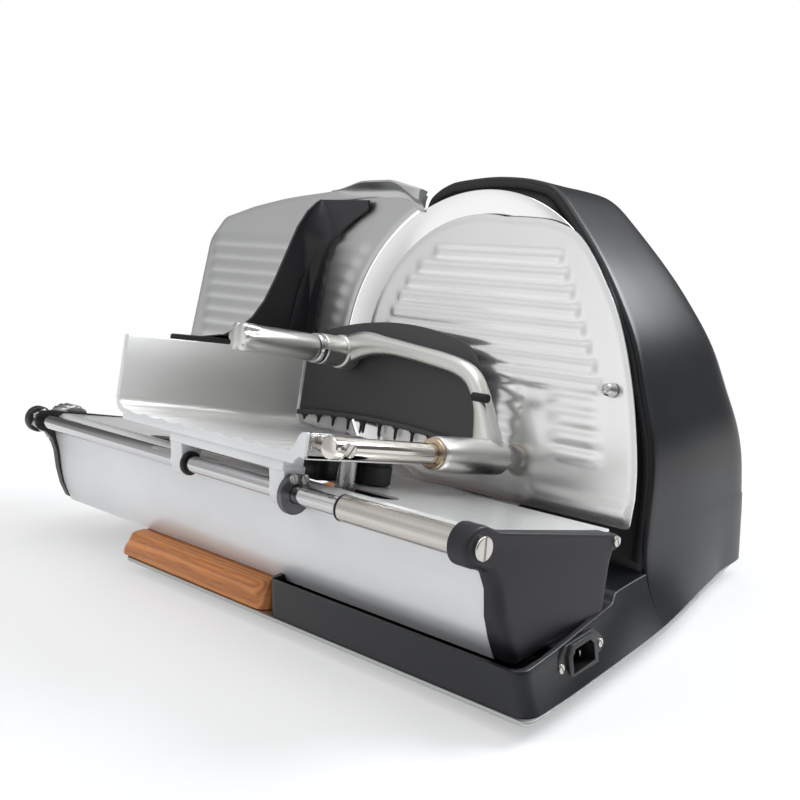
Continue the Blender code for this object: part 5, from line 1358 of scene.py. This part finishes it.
def make_pusher_arm():
    # The cast arm with its hub and eye, its rubber peg, and the stud and collar under the handle
    hub = turned([(9.0, 12.0), (11.0, 11.8), (12.6, 13.0), (12.9, 40.0), (12.2, 78.0), (11.8, 81.4),
                  (11.2, 82.2), (9.0, 82.2)], "toward", PUSHER_PLACE, 80)
    whole = join(hub, [arm_bar(14.8, 28.6), rod("toward", HANDLE_PLACE, 13.8, 14.8, 29.5, 2.0)])
    whole = cut(whole, [rod("toward", PUSHER_PLACE, 9.0, 5.0, 90.0),
                        rod("toward", HANDLE_PLACE, 9.3, 5.0, 40.0)])
    add_piece("arm_casting", whole, "cast_bright", "pusher_arm", "pusher", sharp_deg=50.0)
    peg = rod("x", (28.0 + GAP + 3.2, -31.0), 3.2, 40.0, 54.0, 0.6, 48)
    add_piece("peg_rubber", peg, "rubber", "arm_bumper", "pusher")
    stud = turned([(0, 12.6), (8.4, 12.6), (9.0, 13.2), (9.0, 50.0), (0, 50.0)], "toward", HANDLE_PLACE, 64)
    add_piece("stud_black", stud, "black_plastic", "handle_stud", "pusher")
    neck = ring("toward", HANDLE_PLACE, 9.05, 12.3, 29.4, 50.2, 0.8, 64)
    add_piece("handle_neck", neck, "cast_bright", body="pusher")
    collar = turned([(0, 50.3), (11.4, 50.3), (12.2, 50.8), (12.4, 53.0), (12.2, 55.6), (11.4, 56.8),
                     (0, 57.2)], "toward", HANDLE_PLACE, 64)
    add_piece("collar_bright", collar, "mirror_steel", "handle_collar", "pusher")
    levels = ((57.2, 8.6, 0.0), (57.7, 10.0, 0.0), (58.8, 10.6, 0.0), (66.0, 10.8, 0.0), (96.0, 10.6, 0.0),
              (108.0, 10.5, 0.1), (116.0, 10.9, 0.5), (120.0, 11.4, 1.6), (123.0, 11.6, 2.3),
              (129.0, 11.7, 2.4), (131.4, 11.3, 2.2), (132.6, 10.3, 1.9), (133.0, 9.0, 1.4))
    grip = fluted("toward", HANDLE_PLACE, 6, 96, levels)
    add_piece("handle_grip", grip, "cast_bright", "pusher_handle", "pusher", sharp_deg=40.0)


def plate_arch(x):
    # Zero at the middle of the pusher plate's arch and one near its ends
    return ((x + 66.0) / 96.0) ** 2


def plate_foot(x):
    # Height of the pusher plate's lower edge, arched over the table
    return -65.0 - 6.0 * plate_arch(x)


def make_pusher_plate():
    top = curve_through([(-161.5, -24.0), (-160.0, -10.0), (-154.0, -1.5), (-140.0, 3.6), (-118.0, 9.0),
                         (-96.0, 13.0), (-68.0, 15.6), (-40.0, 15.2), (-18.0, 12.7), (0.0, 9.4), (12.0, 5.0),
                         (21.0, -3.0), (27.5, -14.0), (30.5, -30.0)], 5)
    count = 32
    places = [31.0 - 193.0 * step / count for step in range(count + 1)]
    lower = [(x, plate_foot(x)) for x in places]
    plate = prism(top + lower, "toward", 8.4, 11.6, 0.6)
    add_piece("pusher_sheet", plate, "grey_plastic", "pusher_plate", "pusher")
    shelf = [(x, up - 0.6) for x, up in lower] + [(x, up + 3.6) for x, up in reversed(lower)]
    shelf = prism(shelf, "toward", 9.0, 14.8, 1.2)
    add_piece("pusher_shelf", shelf, "grey_plastic", body="pusher", sharp_deg=40.0)
    teeth = bmesh.new()
    for index in range(TEETH_COUNT + 1):
        x = -154.0 + 178.0 * index / TEETH_COUNT
        root = plate_foot(x) + 1.0
        tip = -76.2 + 0.8 * plate_arch(x)
        add_to(teeth, turned([(0, root), (3.4, root), (3.0, root - 2.0), (1.6, root - 3.4), (1.1, tip + 1.5),
                              (0.5, tip + 0.3), (0, tip)], "up", (x, 11.6), 24))
    add_piece("pusher_teeth", teeth, "black_plastic", body="pusher")


def make_thickness_knob():
    high = GUIDE_LEFT - 8.0 - GAP
    levels = [(high + along, KNOB_RADIUS - shrink, depth) for along, shrink, depth in
              ((-18.5, 1.6, 0.2), (-18.0, 0.7, 0.8), (-17.0, 0.2, 1.2), (-4.0, 0.0, 1.2), (-3.0, 0.6, 0.6),
               (-2.4, 2.0, 0.0), (0.0, 2.2, 0.0))]
    knob = fluted("x", KNOB_PLACE, 20, 160, levels)
    add_piece("knob_fluted", knob, "steel", "thickness_knob", "knob", sharp_deg=40.0)
    add_piece("knob_spindle", rod("x", KNOB_PLACE, 4.0, high - 11.5, -229.8, 0.4), "steel", body="knob")


def dress_the_rest():
    # Nodes whose own shape is right, most of them inside or under the machine
    looks = {"shaft_bearing": "steel", "motor": "black_plastic", "motor_bracket": "steel",
             "drive_belt": "rubber", "blade_shaft": "steel", "blade_pulley": "cast_bright",
             "motor_pulley": "steel", "cover_spacer_upper": "steel", "cover_spacer_lower": "steel",
             "gauge_bracket": "cast_bright", "gauge_slide_rod": "steel", "gauge_bush_block": "cast_bright"}
    for node, look in looks.items():
        refined(node, look, 0.2)


# Studio

def make_camera():
    data = bpy.data.cameras.new("camera")
    data.lens = 48.42
    data.sensor_width = 36.0
    data.clip_start = 0.01
    data.clip_end = 50.0
    camera = bpy.data.objects.new("camera", data)
    bpy.context.scene.collection.objects.link(camera)
    back = Vector((0.6755, -0.7111, 0.1949)).normalized()
    right = Vector((0.7250, 0.6887, 0.0)).normalized()
    up = back.cross(right).normalized()
    matrix = Matrix((right, up, back)).transposed().to_4x4()
    matrix.translation = CENTRE * MM + Vector((0.5222, -0.6207, 0.1239))
    camera.matrix_world = matrix
    bpy.context.scene.camera = camera


def lamp(name, place, target, size, power, colour=(1.0, 1.0, 1.0), shown=True):
    # A rectangular lamp. Only a shown one is seen in reflections.
    data = bpy.data.lights.new(name, "AREA")
    data.shape = "RECTANGLE"
    data.size, data.size_y = size
    data.energy = power
    data.color = colour
    thing = bpy.data.objects.new(name, data)
    bpy.context.scene.collection.objects.link(thing)
    thing.location = place
    thing.rotation_euler = (Vector(target) - Vector(place)).to_track_quat("-Z", "Y").to_euler()
    thing.visible_glossy = shown


def seen_rays(tree):
    # Camera rays alone, and then camera, mirror and glass rays together, which leaves out diffuse light
    path = tree.nodes.new("ShaderNodeLightPath")
    camera = path.outputs["Is Camera Ray"]
    either = math_node(tree, "MAXIMUM", camera, path.outputs["Is Glossy Ray"])
    return camera, math_node(tree, "MAXIMUM", either, path.outputs["Is Transmission Ray"])


def blend(tree, factor, first, second, kind):
    # Ends a tree of the world or of a material with a mix of two shaders
    mix = tree.nodes.new("ShaderNodeMixShader")
    tree.links.new(factor, mix.inputs["Fac"])
    tree.links.new(first.outputs[0], mix.inputs[1])
    tree.links.new(second.outputs[0], mix.inputs[2])
    tree.links.new(mix.outputs[0], tree.nodes[kind].inputs["Surface"])


def make_world():
    # White for the camera. Reflections see a room that is bright in front and above, and dark to the side.
    world = bpy.data.worlds.new("studio")
    bpy.context.scene.world = world
    world.use_nodes = True
    tree = world.node_tree
    tree.nodes.clear()
    out = tree.nodes.new("ShaderNodeOutputWorld")
    lit = tree.nodes.new("ShaderNodeBackground")
    lit.inputs["Color"].default_value = (0.95, 0.97, 1.0, 1.0)
    lit.inputs["Strength"].default_value = 0.45
    seen = tree.nodes.new("ShaderNodeBackground")
    seen.inputs["Color"].default_value = (1.0, 1.0, 1.0, 1.0)
    place = tree.nodes.new("ShaderNodeTexCoord").outputs["Generated"]
    split = tree.nodes.new("ShaderNodeSeparateXYZ")
    tree.links.new(place, split.inputs[0])
    aim = tree.nodes.new("ShaderNodeVectorMath")
    aim.operation = "DOT_PRODUCT"
    tree.links.new(place, aim.inputs[0])
    aim.inputs[1].default_value = Vector((-0.45, -0.86, 0.2)).normalized()
    camera, any_seen = seen_rays(tree)
    wide = range_node(tree, aim.outputs["Value"], 0.45, 0.92, 0.12, 0.55, "SMOOTHSTEP")
    narrow = range_node(tree, aim.outputs["Value"], 0.955, 1.0, 0.0, 0.5, "SMOOTHSTEP")
    above = range_node(tree, split.outputs["Z"], 0.35, 0.85, 0.0, 0.6, "SMOOTHSTEP")
    total = math_node(tree, "ADD", math_node(tree, "ADD", wide, narrow), above)
    total = math_node(tree, "MAXIMUM", math_node(tree, "MINIMUM", total, 1.05), camera)
    tree.links.new(total, seen.inputs["Strength"])
    blend(tree, any_seen, lit, seen, out.name)


def make_floor():
    # A pale floor that keeps the shadow near the slicer and fades into the white room far from it
    material = bpy.data.materials.new("floor_white")
    material.use_nodes = True
    tree = material.node_tree
    shader = tree.nodes["Principled BSDF"]
    shader.inputs["Base Color"].default_value = (0.93, 0.93, 0.93, 1.0)
    shader.inputs["Roughness"].default_value = 0.9
    glow = tree.nodes.new("ShaderNodeEmission")
    glow.inputs["Strength"].default_value = 1.0
    length = tree.nodes.new("ShaderNodeVectorMath")
    length.operation = "LENGTH"
    tree.links.new(tree.nodes.new("ShaderNodeNewGeometry").outputs["Position"], length.inputs[0])
    far = range_node(tree, length.outputs["Value"], 0.30, 0.85, 0.35, 1.0, "SMOOTHSTEP")
    any_seen = seen_rays(tree)[1]
    blend(tree, math_node(tree, "MULTIPLY", far, any_seen), shader, glow, "Material Output")
    half = 15.0
    data = bpy.data.meshes.new("floor")
    data.from_pydata([(-half, -half, 0.0), (half, -half, 0.0), (half, half, 0.0), (-half, half, 0.0)], [],
                     [(0, 1, 2, 3)])
    data.materials.append(material)
    floor = bpy.data.objects.new("floor", data)
    bpy.context.scene.collection.objects.link(floor)


def make_studio():
    bpy.context.scene.view_settings.view_transform = "Standard"
    make_world()
    lamp("softbox_left", (-1.5, -1.5, 1.25), (0.0, 0.0, 0.15), (1.5, 1.5), 20.0, shown=False)
    lamp("softbox_top", (0.2, 0.0, 2.0), (0.0, 0.0, 0.1), (1.8, 1.4), 12.5)
    lamp("softbox_back", (0.95, 1.42, 1.35), (0.1, 0.0, 0.2), (1.0, 0.8), 32.0, (0.93, 0.97, 1.0))
    make_floor()


for make in (make_camera, make_studio, make_base_plate, make_feet, make_board, make_housing, make_rim,
             make_inlet, make_switch, make_blade, make_cover, make_gauge, make_guide, make_caps,
             make_guide_rod, make_table, make_arm, make_under_table, make_guard, make_pusher_rod,
             make_pusher_arm, make_pusher_plate, make_thickness_knob, dress_the_rest):
    make()
